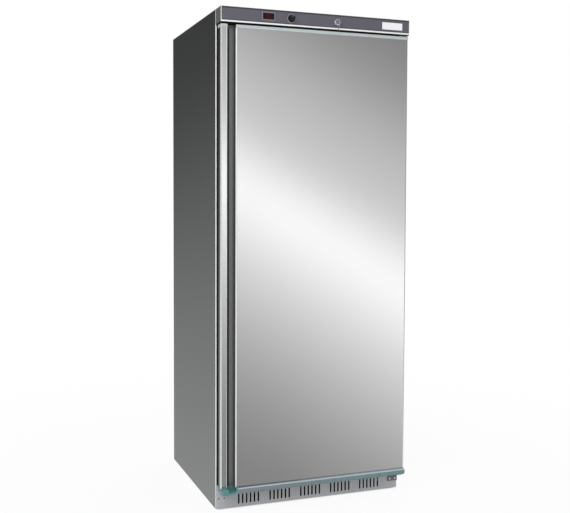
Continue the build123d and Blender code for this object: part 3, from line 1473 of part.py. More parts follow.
def suction_path(diameter):
    """Return pipe from the cold unit, through the room's roof to the compressor."""
    low = COMPRESSOR_Z + SUCTION_RISE
    y = COMPRESSOR_Y + 3 * PIPE_BEND
    x = pipe_column(SUCTION_SHARE)
    points = [
        (COMPRESSOR_X - COMPRESSOR_PLAN[0] / 2, COMPRESSOR_Y, low),
        (x, COMPRESSOR_Y, low),
        (x, y, low),
        (x, y, ROOM_HEIGHT + SKIN + PIPE_BEND),
    ]
    return tube(points, PIPE_BEND, diameter)


def discharge_path(diameter):
    """Hot pipe from the compressor to the top of the condenser."""
    high = COMPRESSOR_Z + DISCHARGE_RISE
    y = (CONDENSER_FRONT + CONDENSER_BACK) / 2
    x = pipe_column(DISCHARGE_SHARE)
    points = [
        (COMPRESSOR_X - COMPRESSOR_PLAN[0] / 2, COMPRESSOR_Y, high),
        (x, COMPRESSOR_Y, high),
        (x, y, high),
        (CONDENSER_SPAN[1], y, high),
    ]
    return tube(points, PIPE_BEND, diameter)


def dryer_place():
    """Plan place of the filter dryer and the height of its lower end."""
    y = (CONDENSER_FRONT + CONDENSER_BACK) / 2
    return pipe_column(SUCTION_SHARE), y, TRAY_TOP + 3 * PIPE_BEND


def liquid_path(diameter):
    """Pipe from the foot of the condenser up to the dryer."""
    x, y, z = dryer_place()
    low = TRAY_TOP + PIPE_BEND
    return tube([(CONDENSER_SPAN[1], y, low), (x, y, low), (x, y, z)], PIPE_BEND, diameter)


def filter_dryer():
    """Copper dryer with tapered ends."""
    x, y, z = dryer_place()
    diameter, length = DRYER
    body = bar_z(x, y, (z, z + length), diameter, HOLE_FACETS)
    return chamfer(body.edges().filter_by(Axis.Z, reverse=True), (diameter - PIPE) / 2)


def capillary_path(diameter):
    """Capillary tube from the dryer up through the room's roof."""
    x, y, z = dryer_place()
    return bar_z(x, y, (z + DRYER[1], ROOM_HEIGHT + SKIN + PIPE_BEND), diameter, HOLE_FACETS)


# Service cover at the back


def gland_hole():
    """Cutter for the mains inlet."""
    return bar_y(GLAND_X, GLAND_Z, (BODY_DEPTH - SKIN, BODY_DEPTH + 2 * SKIN), GLAND_BARREL)


def service_cover():
    """Slotted sheet over the back of the machine room."""
    half = HALF - SERVICE_EDGE
    z = (FLOOR_GAP + SERVICE_EDGE, ROOM_HEIGHT + SKIN + SERVICE_LAP)
    sheet = block((-half, half), (BODY_DEPTH, BODY_DEPTH + SKIN), z)
    pitch_x, pitch_z = SERVICE_SLOT_PITCH
    slots = []
    for column in range(SERVICE_COLUMNS):
        x = (column - (SERVICE_COLUMNS - 1) / 2) * pitch_x
        for row in range(SERVICE_SLOTS):
            slot_z = SERVICE_SLOT_Z + (row - (SERVICE_SLOTS - 1) / 2) * pitch_z
            slots.append(Pos(x, slot_z) * Rectangle(*SERVICE_SLOT))
    cutter = inward(Sketch() + slots, (BODY_DEPTH - SKIN, BODY_DEPTH + 2 * SKIN))
    holes = service_screw_holes((BODY_DEPTH - SKIN, BODY_DEPTH + 2 * SKIN))
    return sheet - cutter - gland_hole() - holes


def mains_gland():
    """Bare gland for the mains lead in the service cover."""
    outer = BODY_DEPTH + SKIN
    flange = bar_y(GLAND_X, GLAND_Z, (outer, outer + GLAND_PROUD), GLAND_FLANGE, SCREW_FACETS)
    flange = chamfer(flange.faces().sort_by(Axis.Y)[-1].edges(), GLAND_EDGE)
    barrel = bar_y(GLAND_X, GLAND_Z, (outer - GLAND_DEPTH, outer), GLAND_BARREL)
    bore = bar_y(GLAND_X, GLAND_Z, (outer - 2 * GLAND_DEPTH, outer + 2 * GLAND_PROUD), GLAND_BORE)
    return (flange + barrel) - bore


os.makedirs("parts", exist_ok=True)

left_side = side_panel()
save("side_panels", left_side, mirrored(left_side))
save("top_panel", top_panel())
save("back_panel", back_panel())
save("bottom_pan", bottom_pan())
save("front_frame", front_frame())
save("cabinet_foam", cabinet_foam())
save("inner_liner", inner_liner())

save("plinth_grille", plinth_grille())
left_rail = floor_rail()
save("floor_rails", left_rail, mirrored(left_rail))
left_foot = front_foot()
save("left_front_foot", left_foot)
save("right_front_foot", mirrored(left_foot))
left_fork = roller_fork()
left_axle = roller_axle()
save("roller_brackets", left_fork, left_axle, mirrored(left_fork), mirrored(left_axle))
left_roller = rear_roller()
save("left_rear_roller", left_roller)
save("right_rear_roller", mirrored(left_roller))

save("control_fascia", control_fascia())
save("display_case", display_case())
save("display_window", display_window())
save("label_plate", label_plate())
save("thermostat_body", thermostat_body())
save("thermostat_shaft", thermostat_shaft())
save("thermostat_knob", thermostat_knob())
save("lock_barrel", lock_barrel())
save("lock_rotor", lock_rotor(), lock_bolt())
save("lock_key", lock_key())
save("spare_key_ring", key_ring(), spare_key())

save("door_skin", door_skin())
save("grip_profile", grip_profile())
save("recess_plate", recess_plate())
save("door_foam", door_foam())
save("door_liner", door_liner())
save("door_gasket", door_gasket())
save("gasket_magnets", *gasket_magnets())
save("door_top_cap", door_top_cap())
save("door_bottom_cap", door_bottom_cap())
save("lock_keeper", lock_keeper())
save("hinge_bushes", lower_bush(), upper_bush())

save("hinge_brackets", bottom_bracket(), top_bracket())
save("hinge_pins", lower_pin(), upper_pin())
save("panel_screws", *all_screws())

left_rack = shelf_rack()
save("shelf_racks", left_rack, mirrored(left_rack))
for number in range(SHELF_COUNT):
    row = number * LEDGES_PER_SHELF
    save("wire_shelf_" + str(number + 1), wire_shelf(row), *shelf_stays(row))

save("evaporator_cover", evaporator_cover())
save("evaporator_coil", evaporator_coil())
save("evaporator_fan", evaporator_place() * fan_wheel(AIR_FAN))
save("temperature_probe", temperature_probe())
save("drain_tube", drain_path(DRAIN_TUBE) - drain_path(DRAIN_BORE))

save("machine_tray", machine_tray())
save("compressor", compressor())
save("compressor_grommets", *grommets())
save("terminal_box", terminal_box())
save("evaporation_bowl", evaporation_bowl())
save("condenser_coil", condenser_coil())
save("fan_motors", evaporator_motor(), condenser_place() * fan_motor())
save("condenser_fan", condenser_place() * fan_wheel(CONDENSER_FAN))
pipes = [suction_path(PIPE), discharge_path(PIPE), liquid_path(PIPE), capillary_path(CAPILLARY)]
save("refrigerant_pipes", *pipes, filter_dryer())
save("service_cover", service_cover())
save("mains_gland", mains_gland())
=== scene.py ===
"""Looks of an upright one-door commercial refrigerator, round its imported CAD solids.

Metres, but millimetres in the mesh tools. X runs to the right of someone facing the door,
Y away from them and Z up.
"""

import json
import math

import bmesh
import bpy
from mathutils import Matrix, Vector

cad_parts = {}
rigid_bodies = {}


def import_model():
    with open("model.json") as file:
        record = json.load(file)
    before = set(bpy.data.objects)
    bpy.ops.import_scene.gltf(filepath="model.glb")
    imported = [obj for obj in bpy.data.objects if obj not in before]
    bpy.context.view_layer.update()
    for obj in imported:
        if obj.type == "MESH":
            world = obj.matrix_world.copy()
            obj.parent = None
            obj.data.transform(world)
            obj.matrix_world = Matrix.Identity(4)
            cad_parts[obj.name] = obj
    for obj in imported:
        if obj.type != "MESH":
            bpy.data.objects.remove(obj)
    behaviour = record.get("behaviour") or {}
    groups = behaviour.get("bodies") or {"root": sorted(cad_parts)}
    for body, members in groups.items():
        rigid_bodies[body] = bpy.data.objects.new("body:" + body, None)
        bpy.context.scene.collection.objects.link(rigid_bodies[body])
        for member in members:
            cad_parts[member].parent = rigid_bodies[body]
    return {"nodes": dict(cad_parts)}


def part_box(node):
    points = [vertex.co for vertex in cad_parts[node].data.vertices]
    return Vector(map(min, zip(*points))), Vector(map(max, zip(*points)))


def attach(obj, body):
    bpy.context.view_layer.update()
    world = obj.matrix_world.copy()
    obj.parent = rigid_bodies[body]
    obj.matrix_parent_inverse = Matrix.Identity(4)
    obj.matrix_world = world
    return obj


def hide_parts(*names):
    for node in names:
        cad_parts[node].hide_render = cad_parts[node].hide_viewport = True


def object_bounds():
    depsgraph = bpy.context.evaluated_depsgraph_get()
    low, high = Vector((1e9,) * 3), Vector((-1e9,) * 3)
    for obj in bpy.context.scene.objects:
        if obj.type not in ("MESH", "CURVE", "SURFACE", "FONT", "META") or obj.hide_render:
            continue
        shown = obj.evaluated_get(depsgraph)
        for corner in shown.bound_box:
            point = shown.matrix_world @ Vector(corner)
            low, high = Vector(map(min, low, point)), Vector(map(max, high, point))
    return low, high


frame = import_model()
cad_nodes = frame["nodes"]
cad_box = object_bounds()

MM = 0.001
MICRON = 0.001 * MM
AXES = {"X": Vector((1, 0, 0)), "Y": Vector((0, 1, 0)), "Z": Vector((0, 0, 1))}

# The photograph: its size in pixels, and the camera that it was taken with
PHOTO_WIDE = 570
PHOTO_HIGH = 513
FOCAL_PIXELS = 857.8
AXIS_PIXEL = (264.7, 239.3)
SENSOR_WIDE = 36.0
CAMERA_PLACE = Vector((-1.3058, -3.39345, 1.1997))
CAMERA_YAW = math.radians(19.752)
CAMERA_PITCH = math.radians(2.860)
CAMERA_ROLL = math.radians(0.169)
FARTHEST_SEEN = 200.0


def place_camera():
    """The photograph's camera: left of the door, at chest height, looking slightly down."""
    data = bpy.data.cameras.new("photo_camera")
    data.sensor_width = SENSOR_WIDE
    data.lens = SENSOR_WIDE * FOCAL_PIXELS / PHOTO_WIDE
    data.shift_x = (PHOTO_WIDE / 2 - AXIS_PIXEL[0]) / PHOTO_WIDE
    data.shift_y = (AXIS_PIXEL[1] - PHOTO_HIGH / 2) / PHOTO_WIDE
    data.clip_end = FARTHEST_SEEN
    camera = bpy.data.objects.new("photo_camera", data)
    turn = Matrix.Rotation(-CAMERA_YAW, 4, "Z")
    tilt = Matrix.Rotation(math.pi / 2 - CAMERA_PITCH, 4, "X")
    roll = Matrix.Rotation(CAMERA_ROLL, 4, "Z")
    camera.matrix_world = Matrix.Translation(CAMERA_PLACE) @ turn @ tilt @ roll
    bpy.context.scene.collection.objects.link(camera)
    bpy.context.scene.camera = camera


# Shader nodes written as expressions

NOISE_ROUGHNESS = 0.55


class Wire:
    """An output socket. Arithmetic on it adds Math nodes to its sheet."""

    def __init__(self, sheet, socket):
        self.sheet = sheet
        self.socket = socket

    def maths(self, operation, *values):
        return self.sheet.node("Math", {"operation": operation}, dict(enumerate(values)))

    def __abs__(self):
        return self.maths("ABSOLUTE", self)

    def __add__(self, other):
        return self.maths("ADD", self, other)

    def __radd__(self, other):
        return self.maths("ADD", other, self)

    def __sub__(self, other):
        return self.maths("SUBTRACT", self, other)

    def __rsub__(self, other):
        return self.maths("SUBTRACT", other, self)

    def __mul__(self, other):
        return self.maths("MULTIPLY", self, other)

    def __rmul__(self, other):
        return self.maths("MULTIPLY", other, self)

    def __gt__(self, other):
        return self.maths("GREATER_THAN", self, other)

    def __lt__(self, other):
        return self.maths("LESS_THAN", self, other)


class Sheet:
    """The node tree of a material or of the world, while it is being wired."""

    def __init__(self, owner):
        owner.use_nodes = True
        self.tree = owner.node_tree
        self.tree.nodes.clear()

    def node(self, kind, settings, sockets, output=0):
        """Adds one node: its own settings first, then the value or link of each socket."""
        made = self.tree.nodes.new("ShaderNode" + kind)
        for name, value in settings.items():
            if name == "stops":
                set_stops(made.color_ramp.elements, value)
            else:
                setattr(made, name, value)
        for name, value in sockets.items():
            if isinstance(value, Wire):
                self.tree.links.new(value.socket, made.inputs[name])
            else:
                made.inputs[name].default_value = value
        return Wire(self, made.outputs[output])

    def blend(self, share, first, second):
        """A colour between two colours."""
        return self.node("Mix", {"data_type": "RGBA"}, {0: share, 6: first, 7: second}, 2)

    def tint(self, tone, colour, darkest, lightest):
        """A colour that a tone varies between two shades of itself."""
        return self.blend(tone, shade(colour, darkest), shade(colour, lightest))

    def ramp(self, value, stops):
        """Grey levels read along a value."""
        return self.node("ValToRGB", {"stops": stops}, {"Fac": value})

    def rise(self, value, start, end):
        """Nought up to a start, one from an end on, and an even slope between them."""
        slope = (value - start) * (1 / (end - start))
        return self.node("Clamp", {}, {"Value": slope})

    def place(self):
        """Where a point of the surface is, in the object's own coordinates."""
        return self.node("TexCoord", {}, {}, "Object")

    def along(self, axis):
        """One coordinate of the place, in metres."""
        return self.node("SeparateXYZ", {}, {"Vector": self.place()}, axis)

    def within(self, axis, low, high):
        """One inside a span of a coordinate, and nought outside it."""
        value = self.along(axis)
        return (value > low) * (value < high)

    def noise(self, waves, detail):
        """Soft noise. Its waves in a metre are one number, or one for each axis."""
        scale = waves if isinstance(waves, tuple) else (waves, waves, waves)
        stretched = self.node("Mapping", {}, {"Vector": self.place(), "Scale": scale})
        sockets = {"Vector": stretched, "Scale": 1.0, "Detail": detail, "Roughness": NOISE_ROUGHNESS}
        return self.node("TexNoise", {}, sockets, "Fac")

    def bump(self, height, depth, strength=1.0):
        """A normal that follows a height, of a given depth in metres."""
        sockets = {"Height": height, "Distance": depth, "Strength": strength}
        return self.node("Bump", {}, sockets)

    def ray(self, kind):
        """One for rays of a kind, such as Camera, and nought for the others."""
        return self.node("LightPath", {}, {}, "Is " + kind + " Ray")

    def surface(self, **values):
        """A Principled shader to end the sheet, its sockets named with underscores for spaces."""
        sockets = {name.replace("_", " "): value for name, value in values.items()}
        self.show("OutputMaterial", self.node("BsdfPrincipled", {}, sockets))

    def show(self, kind, shader):
        """Feeds a shader to an output node, which ends the sheet."""
        made = self.tree.nodes.new("ShaderNode" + kind)
        self.tree.links.new(shader.socket, made.inputs["Surface"])


def set_stops(elements, stops):
    """Gives a ramp its stops, each a position and a grey level."""
    while len(elements) < len(stops):
        elements.new(1.0)
    for element, (position, level) in zip(elements, stops):
        element.position = position
        element.color = grey(level)


def grey(level):
    """A neutral colour."""
    return (level, level, level, 1.0)


def paint(red, green, blue):
    """A colour."""
    return (red, green, blue, 1.0)


def shade(colour, share):
    """A colour made lighter or darker."""
    return tuple(min(1.0, part * share) for part in colour[:3]) + (1.0,)


# Every finish by its name
finishes = {}


def sheet_for(name):
    """The sheet of a new finish."""
    finishes[name] = bpy.data.materials.new(name)
    return Sheet(finishes[name])


# Colours

STEEL_DOOR = paint(0.62, 0.625, 0.62)
# The side panels' steel, set darker than the door's as painted shade
SIDE_STEEL_SHADED = paint(0.33, 0.35, 0.34)
STEEL_INNER = paint(0.52, 0.54, 0.55)
# Near black front frame: painted shade in the gap round the door
FRAME_SHADE_GREY = paint(0.085, 0.088, 0.092)
FOIL_GREY = paint(0.105, 0.1, 0.125)
PLINTH_GREY = paint(0.5, 0.505, 0.525)
GRIP_ALUMINIUM = paint(0.62, 0.635, 0.63)
# Painted highlight: a near white laid along edges of bare metal
PAINTED_HIGHLIGHT_WHITE = paint(0.97, 0.98, 0.98)
SHADOW_GAP = paint(0.008, 0.008, 0.009)
# Painted shade on the fascia's side returns
RETURN_SHADE_GREY = paint(0.2, 0.2, 0.205)
# Grey of the recess back: grey anodising, made darker as painted shade in the recess
RECESS_SHADED_GREY = paint(0.19, 0.195, 0.195)
CAP_TEAL = paint(0.1, 0.26, 0.25)
# Grey of the bottom cap's front and top face: in part its own tint, in part painted reflection
CAP_GREY_AND_REFLECTION = paint(0.2, 0.235, 0.275)
# Pale of the top cap, also the bottom cap's painted highlight
CAP_PALE_AND_HIGHLIGHT = paint(0.47, 0.52, 0.53)
LINER_WHITE = paint(0.86, 0.875, 0.875)
LABEL_WHITE = grey(0.9)
GASKET_GREY = paint(0.42, 0.43, 0.44)
MAGNET_BROWN = paint(0.06, 0.055, 0.05)
BLACK = paint(0.012, 0.012, 0.014)
RUBBER_BLACK = paint(0.02, 0.02, 0.022)
RIM_GREY = paint(0.2, 0.19, 0.22)
DIAL_GREY = paint(0.3, 0.29, 0.33)
GREY_PLASTIC = paint(0.45, 0.46, 0.47)
DIGIT_RED = paint(0.12, 0.008, 0.012)
GLASS_DARK = paint(0.014, 0.006, 0.01)
GLASS_MAROON = paint(0.03, 0.01, 0.016)
ZINC = paint(0.55, 0.56, 0.57)
BRACKET_GREY = paint(0.15, 0.15, 0.16)
CHROME = paint(0.75, 0.76, 0.77)
ALUMINIUM = paint(0.68, 0.69, 0.7)
COPPER = paint(0.72, 0.4, 0.26)
FOAM = paint(0.82, 0.72, 0.46)

# Patterns: their waves in a metre, and the number of finer waves laid over them
DRIFT = (6.0, 2.0)
CLOUD = (9.0, 3.0)
FOAM_CLOUD = (25.0, 3.0)
DUST = (30.0, 3.0)
BLOOM = (60.0, 3.0)
MOTTLE = (90.0, 4.0)
GLASS_CLOUD = (120.0, 2.0)
PEEL = (700.0, 1.0)
PITS = (900.0, 1.0)
SPECK = (1100.0, 2.0)
SPARK = (1400.0, 1.0)
DIE_LINES = ((2600.0, 2600.0, 2.0), 3.0)
DIE_CLOUD = ((3.0, 3.0, 1.5), 2.0)
DOOR_PATCH = ((2.2, 2.2, 1.1), 2.0)
SIDE_PATCH = ((1.6, 1.6, 0.9), 2.0)
BRUSH_UP_FINE = ((1500.0, 1500.0, 5.0), 2.0)
BRUSH_UP_COARSE = ((260.0, 260.0, 5.0), 4.0)
BRUSH_ACROSS = ((5.0, 1500.0, 1500.0), 3.0)
FOAM_CELLS = 900.0
FINS = 130.0


# Finishes that are the same all over


def painted(name, colour, roughness, metallic=0.0, fleck=0.05):
    """Painted or galvanised sheet, faintly mottled, with a fine orange peel."""
    sheet = sheet_for(name)
    mottle, coat, peel = coating(sheet, colour, fleck)
    sheet.surface(
        Base_Color=coat,
        Metallic=metallic,
        Roughness=roughness - 0.06 + 0.12 * mottle,
        Normal=peel,
    )


def coating(sheet, colour, fleck):
    """The mottle, the colour and the orange peel of a coat on sheet metal."""
    mottle = sheet.noise(*MOTTLE)
    tone = 0.6 * mottle + 0.4 * sheet.noise(*DRIFT)
    coat = sheet.tint(tone, colour, 1 - 2 * fleck, 1 + 2 * fleck)
    return mottle, coat, sheet.bump(sheet.noise(*PEEL), 6 * MICRON)


def moulded(name, colour, roughness, grain=10 * MICRON, shine=0.5):
    """Moulded plastic or rubber with a fine grain and faint shifts of tone."""
    sheet = sheet_for(name)
    cloud = sheet.noise(*CLOUD)
    spark = sheet.noise(*SPARK)
    sheet.surface(
        Base_Color=sheet.tint(cloud, colour, 0.97, 1.03),
        Roughness=roughness - 0.05 + 0.06 * spark + 0.04 * cloud,
        Specular_IOR_Level=shine,
        Normal=sheet.bump(spark, grain),
    )


def plated(name, colour, roughness):
    """Bright or zinc plated steel, with a slight cloudiness."""
    sheet = sheet_for(name)
    cloud = sheet.noise(*BLOOM)
    pits = sheet.noise(*PITS)
    sheet.surface(
        Base_Color=sheet.tint(cloud, colour, 0.92, 1.05),
        Metallic=1.0,
        Roughness=roughness - 0.05 + 0.08 * cloud + 0.02 * pits,
        Normal=sheet.bump(pits, 4 * MICRON),
    )


def finned(name):
    """Aluminium fins, seen as close lines along X, dark between the fins as painted shade in the gaps."""
    sheet = sheet_for(name)
    sockets = {"Vector": sheet.place(), "Scale": FINS, "Distortion": 0.4, "Detail": 1.0}
    wave = sheet.node("TexWave", {"bands_direction": "X"}, sockets, "Fac")
    dust = sheet.noise(*DUST)
    dusty = sheet.tint(dust, ALUMINIUM, 0.75, 1.0)
    sheet.surface(
        # Painted shade in the gaps between the fins
        Base_Color=sheet.blend(wave, shade(ALUMINIUM, 0.18), dusty),
        Metallic=0.8,
        Roughness=0.35 + 0.15 * dust,
        Normal=sheet.bump(wave, 0.4 * MM),
    )


def foam_finish():
    """Blown foam with closed cells."""
    sheet = sheet_for("foam")
    sockets = {"Vector": sheet.place(), "Scale": FOAM_CELLS}
    cells = sheet.node("TexVoronoi", {}, sockets, "Distance")
    cloud = sheet.noise(*FOAM_CLOUD)
    sheet.surface(
        Base_Color=sheet.tint(cloud, FOAM, 0.88, 1.0),
        Roughness=0.85 + 0.1 * cloud,
        Normal=sheet.bump(cells, 0.1 * MM, 0.5),
    )


def display_glass():
    """Dark maroon window with a faint cloudiness."""
    sheet = sheet_for("display_glass")
    cloud = sheet.noise(*GLASS_CLOUD)
    sheet.surface(
        Base_Color=sheet.blend(cloud, GLASS_DARK, GLASS_MAROON),
        Roughness=0.08 + 0.04 * cloud,
        Specular_IOR_Level=0.12,
    )


# Finishes that follow the folds and edges of their node

# How much less metallic the painted highlights along edges of bare metal are than its faces
HIGHLIGHT_PLAIN = 0.7

# The fascia's film ends at the roll along its foot and just inside the other edges. Painted shade lines run
# along the film's foot and near its top.
FASCIA_FACE = 2.2 * MM
FASCIA_RETURN = 5.0 * MM
ROLL_HEIGHT = 7.8 * MM
ROLL_THICK = 2.5 * MM
FILM_TOP = 1.0 * MM
FILM_LEFT = 1.4 * MM
FILM_RIGHT = 0.5 * MM
FOOT_SHADE_LINE = 4.0 * MM
CREST_SHADE_LINE = (7.0 * MM, 2.5 * MM)


def fascia_steel():
    """Brushed steel with a grey film on its flat front: the bare steel painted near white as a highlight,
    the side returns painted darker as shade, the underside painted black as shadow, and painted shade lines
    along the film's foot and top.
    """
    low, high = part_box("control_fascia")
    foot = low.z + ROLL_HEIGHT
    sheet = sheet_for("fascia_steel")
    back = sheet.along("Y")
    flat = back < low.y + FASCIA_FACE
    # Painted shade: the side returns get a darker grey
    shaded_returns = back > low.y + FASCIA_RETURN
    # Painted shadow: the underside behind the roll is near black
    under = (sheet.along("Z") < low.z + ROLL_THICK) * (back > low.y + ROLL_THICK)
    film = flat * sheet.within("Z", foot, high.z - FILM_TOP)
    film = film * sheet.within("X", low.x + FILM_LEFT, high.x - FILM_RIGHT)
    # Painted shade lines along the film's foot and near its top
    foot_shade_line = flat * sheet.within("Z", foot, foot + FOOT_SHADE_LINE)
    crest_shade_line = flat * sheet.within("Z", high.z - CREST_SHADE_LINE[0], high.z - CREST_SHADE_LINE[1])
    lines = sheet.noise(*BRUSH_ACROSS)
    speck = sheet.noise(*SPECK)
    # Painted highlight: the bare steel, the roll included, is near white
    steel = sheet.tint(lines, PAINTED_HIGHLIGHT_WHITE, 0.9, 1.0)
    steel = sheet.blend(shaded_returns, steel, RETURN_SHADE_GREY)
    foil = sheet.tint(speck, FOIL_GREY, 0.86, 1.14)
    foil = sheet.blend(0.45 * foot_shade_line + 0.75 * crest_shade_line, foil, shade(FOIL_GREY, 0.1))
    covered = sheet.blend(film, steel, foil)
    sheet.surface(
        Base_Color=sheet.blend(under, covered, SHADOW_GAP),
        Metallic=0.3 * (1 - film) * (1 - under),
        Roughness=0.16 + 0.06 * lines + film * (0.16 + 0.08 * speck) + 0.4 * under,
        Normal=sheet.bump(lines, 4 * MICRON),
    )


def die_drawn(sheet):
    """The lines that a die leaves up an extrusion, and the tone that they give it."""
    lines = sheet.noise(*DIE_LINES)
    return lines, 0.7 * lines + 0.3 * sheet.noise(*DIE_CLOUD)


# The grip: painted highlights on its left corner and, high up only, along the lip by its recess, and
# painted shade in black down its back edge
GRIP_FACE = 3.0 * MM
GRIP_HIGHLIGHT_WIDE = 1.8 * MM
GRIP_LIP = 25.5 * MM
LIP_HIGHLIGHT = (4.0 * MM, 1.0 * MM)
LIP_HIGHLIGHT_FADE = (0.6, 1.0)
BACK_SHADE_START = 19.0 * MM
BACK_SHADE_THICK = 0.6 * MM


def grip_aluminium():
    """Satin aluminium with lines from the die, painted highlights on its edges, and painted shade in black
    down its back.
    """
    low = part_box("grip_profile")[0]
    lip = low.x + GRIP_LIP
    sheet = sheet_for("grip_aluminium")
    back = sheet.along("Y")
    across = sheet.along("X")
    # Painted shade: black down the back of the grip's side, in the gap
    shade_behind = (back > low.y + BACK_SHADE_START) * (across < low.x + BACK_SHADE_THICK)
    lip_highlight = sheet.within("X", lip - LIP_HIGHLIGHT[0], lip + LIP_HIGHLIGHT[1])
    lip_highlight = lip_highlight * sheet.rise(sheet.along("Z"), *LIP_HIGHLIGHT_FADE)
    # Painted highlight on the left corner and on the lip
    bright = (back < low.y + GRIP_FACE) * ((across < low.x + GRIP_HIGHLIGHT_WIDE) + lip_highlight)
    lines, tone = die_drawn(sheet)
    bare = sheet.tint(tone, GRIP_ALUMINIUM, 0.9, 1.08)
    edged = sheet.blend(bright, bare, PAINTED_HIGHLIGHT_WHITE)
    sheet.surface(
        Base_Color=sheet.blend(shade_behind, edged, SHADOW_GAP),
        Metallic=1 - shade_behind - HIGHLIGHT_PLAIN * bright,
        Roughness=0.12 + 0.05 * lines + 0.25 * shade_behind,
        Normal=sheet.bump(lines, 2 * MICRON),
    )


# Width of the lip's painted shadow down the recess back
LIP_SHADOW_WIDE = 38.0 * MM


def recess_grey():
    """Back of the grip's recess in grey anodising, made darker as painted shade, with the lip's shadow
    painted black down its left side.
    """
    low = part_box("recess_plate")[0]
    sheet = sheet_for("recess_grey")
    # Painted shadow of the lip
    lip_shadow = sheet.along("X") < low.x + LIP_SHADOW_WIDE
    lines, tone = die_drawn(sheet)
    anodised = sheet.tint(tone, RECESS_SHADED_GREY, 0.85, 1.15)
    sheet.surface(
        Base_Color=sheet.blend(lip_shadow, anodised, shade(RECESS_SHADED_GREY, 0.12)),
        Metallic=0.7 - 0.7 * lip_shadow,
        Roughness=0.34 + 0.1 * lines + 0.2 * lip_shadow,
        Normal=sheet.bump(lines, 6 * MICRON),
    )


# Width of the painted highlight on the door's left corner, and where the painted shade down the return lies
DOOR_CORNER_HIGHLIGHT = 3.0 * MM
DOOR_RETURN_THICK = 1.3 * MM
DOOR_RETURN_START = 7.0 * MM


def door_steel():
    """Brushed door sheet, with a painted highlight on its left corner and painted shade down the return
    behind it.
    """
    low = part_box("door_skin")[0]
    sheet = sheet_for("steel_door")
    across = sheet.along("X")
    # Painted shade down the return behind the corner
    inner = (across < low.x + DOOR_RETURN_THICK) * (sheet.along("Y") > low.y + DOOR_RETURN_START)
    # Painted highlight on the left corner
    corner = (across < low.x + DOOR_CORNER_HIGHLIGHT) * (1 - inner)
    lines = 0.6 * sheet.noise(*BRUSH_UP_FINE) + 0.4 * sheet.noise(*BRUSH_UP_COARSE)
    patch = sheet.noise(*DOOR_PATCH)
    steel = sheet.tint(0.8 * lines + 0.2 * patch, STEEL_DOOR, 0.93, 1.06)
    steel = sheet.blend(corner, steel, PAINTED_HIGHLIGHT_WHITE)
    sheet.surface(
        Base_Color=sheet.blend(inner, steel, shade(STEEL_DOOR, 0.14)),
        Metallic=1 - 0.4 * inner - HIGHLIGHT_PLAIN * corner,
        Roughness=0.11 + 0.04 * lines + 0.03 * patch + 0.25 * inner,
        Normal=sheet.bump(lines, 4 * MICRON),
    )


# Width and depth of the painted highlight along the front corner, and depth of the painted shadow on the
# fold
SIDE_HIGHLIGHT_WIDE = 3.3 * MM
SIDE_HIGHLIGHT_DEEP = 4.0 * MM
GAP_SHADOW_DEEP = 1.4 * MM


def side_steel():
    """Brushed outer panels, with a painted highlight along the front corner and painted shadow on the front
    fold behind the door.
    """
    low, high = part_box("side_panels")
    sheet = sheet_for("side_steel")
    back = sheet.along("Y")
    middle = sheet.within("X", low.x + SIDE_HIGHLIGHT_WIDE, high.x - SIDE_HIGHLIGHT_WIDE)
    # Painted shadow on the front fold, in the gap behind the door
    seam = (back < low.y + GAP_SHADOW_DEEP) * middle
    # Painted highlight along the front corner
    corner = (back < low.y + SIDE_HIGHLIGHT_DEEP) * (1 - middle)
    fine = sheet.noise(*BRUSH_UP_FINE)
    coarse = sheet.noise(*BRUSH_UP_COARSE)
    patch = sheet.noise(*SIDE_PATCH)
    steel = sheet.tint(0.4 * fine + 0.4 * coarse + 0.2 * patch, SIDE_STEEL_SHADED, 0.92, 1.08)
    steel = sheet.blend(corner, steel, PAINTED_HIGHLIGHT_WHITE)
    sheet.surface(
        Base_Color=sheet.blend(seam, steel, SHADOW_GAP),
        Metallic=1 - seam - HIGHLIGHT_PLAIN * corner * (1 - seam),
        Roughness=0.17 + 0.05 * coarse + 0.05 * patch + 0.3 * seam,
        Normal=sheet.bump(fine, 3 * MICRON),
    )


# Where the painted black shade behind the plinth's front face begins
PLINTH_FACE = 0.25 * MM
PLINTH_SIDE = 1.0 * MM


def plinth_paint():
    """Painted plinth sheet, with painted shade in black on the walls of its slots and holes and on its
    back.
    """
    low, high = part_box("plinth_grille")
    sheet = sheet_for("plinth_steel")
    mottle, coat, peel = coating(sheet, PLINTH_GREY, 0.05)
    # Painted shade: everything behind the front face is black
    inner = sheet.along("Y") > low.y + PLINTH_FACE
    inner = inner * sheet.within("X", low.x + PLINTH_SIDE, high.x - PLINTH_SIDE)
    sheet.surface(
        Base_Color=sheet.blend(inner, coat, BLACK),
        Metallic=0.15 - 0.15 * inner,
        Roughness=0.34 + 0.12 * mottle,
        Normal=peel,
    )


# The bottom cap turns from grey to green along the door, its grey in part a painted reflection, and its
# nose is green. It has a painted highlight under its top edge, a painted reflection on its top face and
# painted shade along its foot.
CAP_HIGHLIGHT_DEEP = 5.0 * MM
CAP_LEDGE = 0.8 * MM
CAP_FOOT_SHADE = 3.5 * MM
CAP_NOSE = 66.0 * MM
CAP_FADE = 312.5 * MM


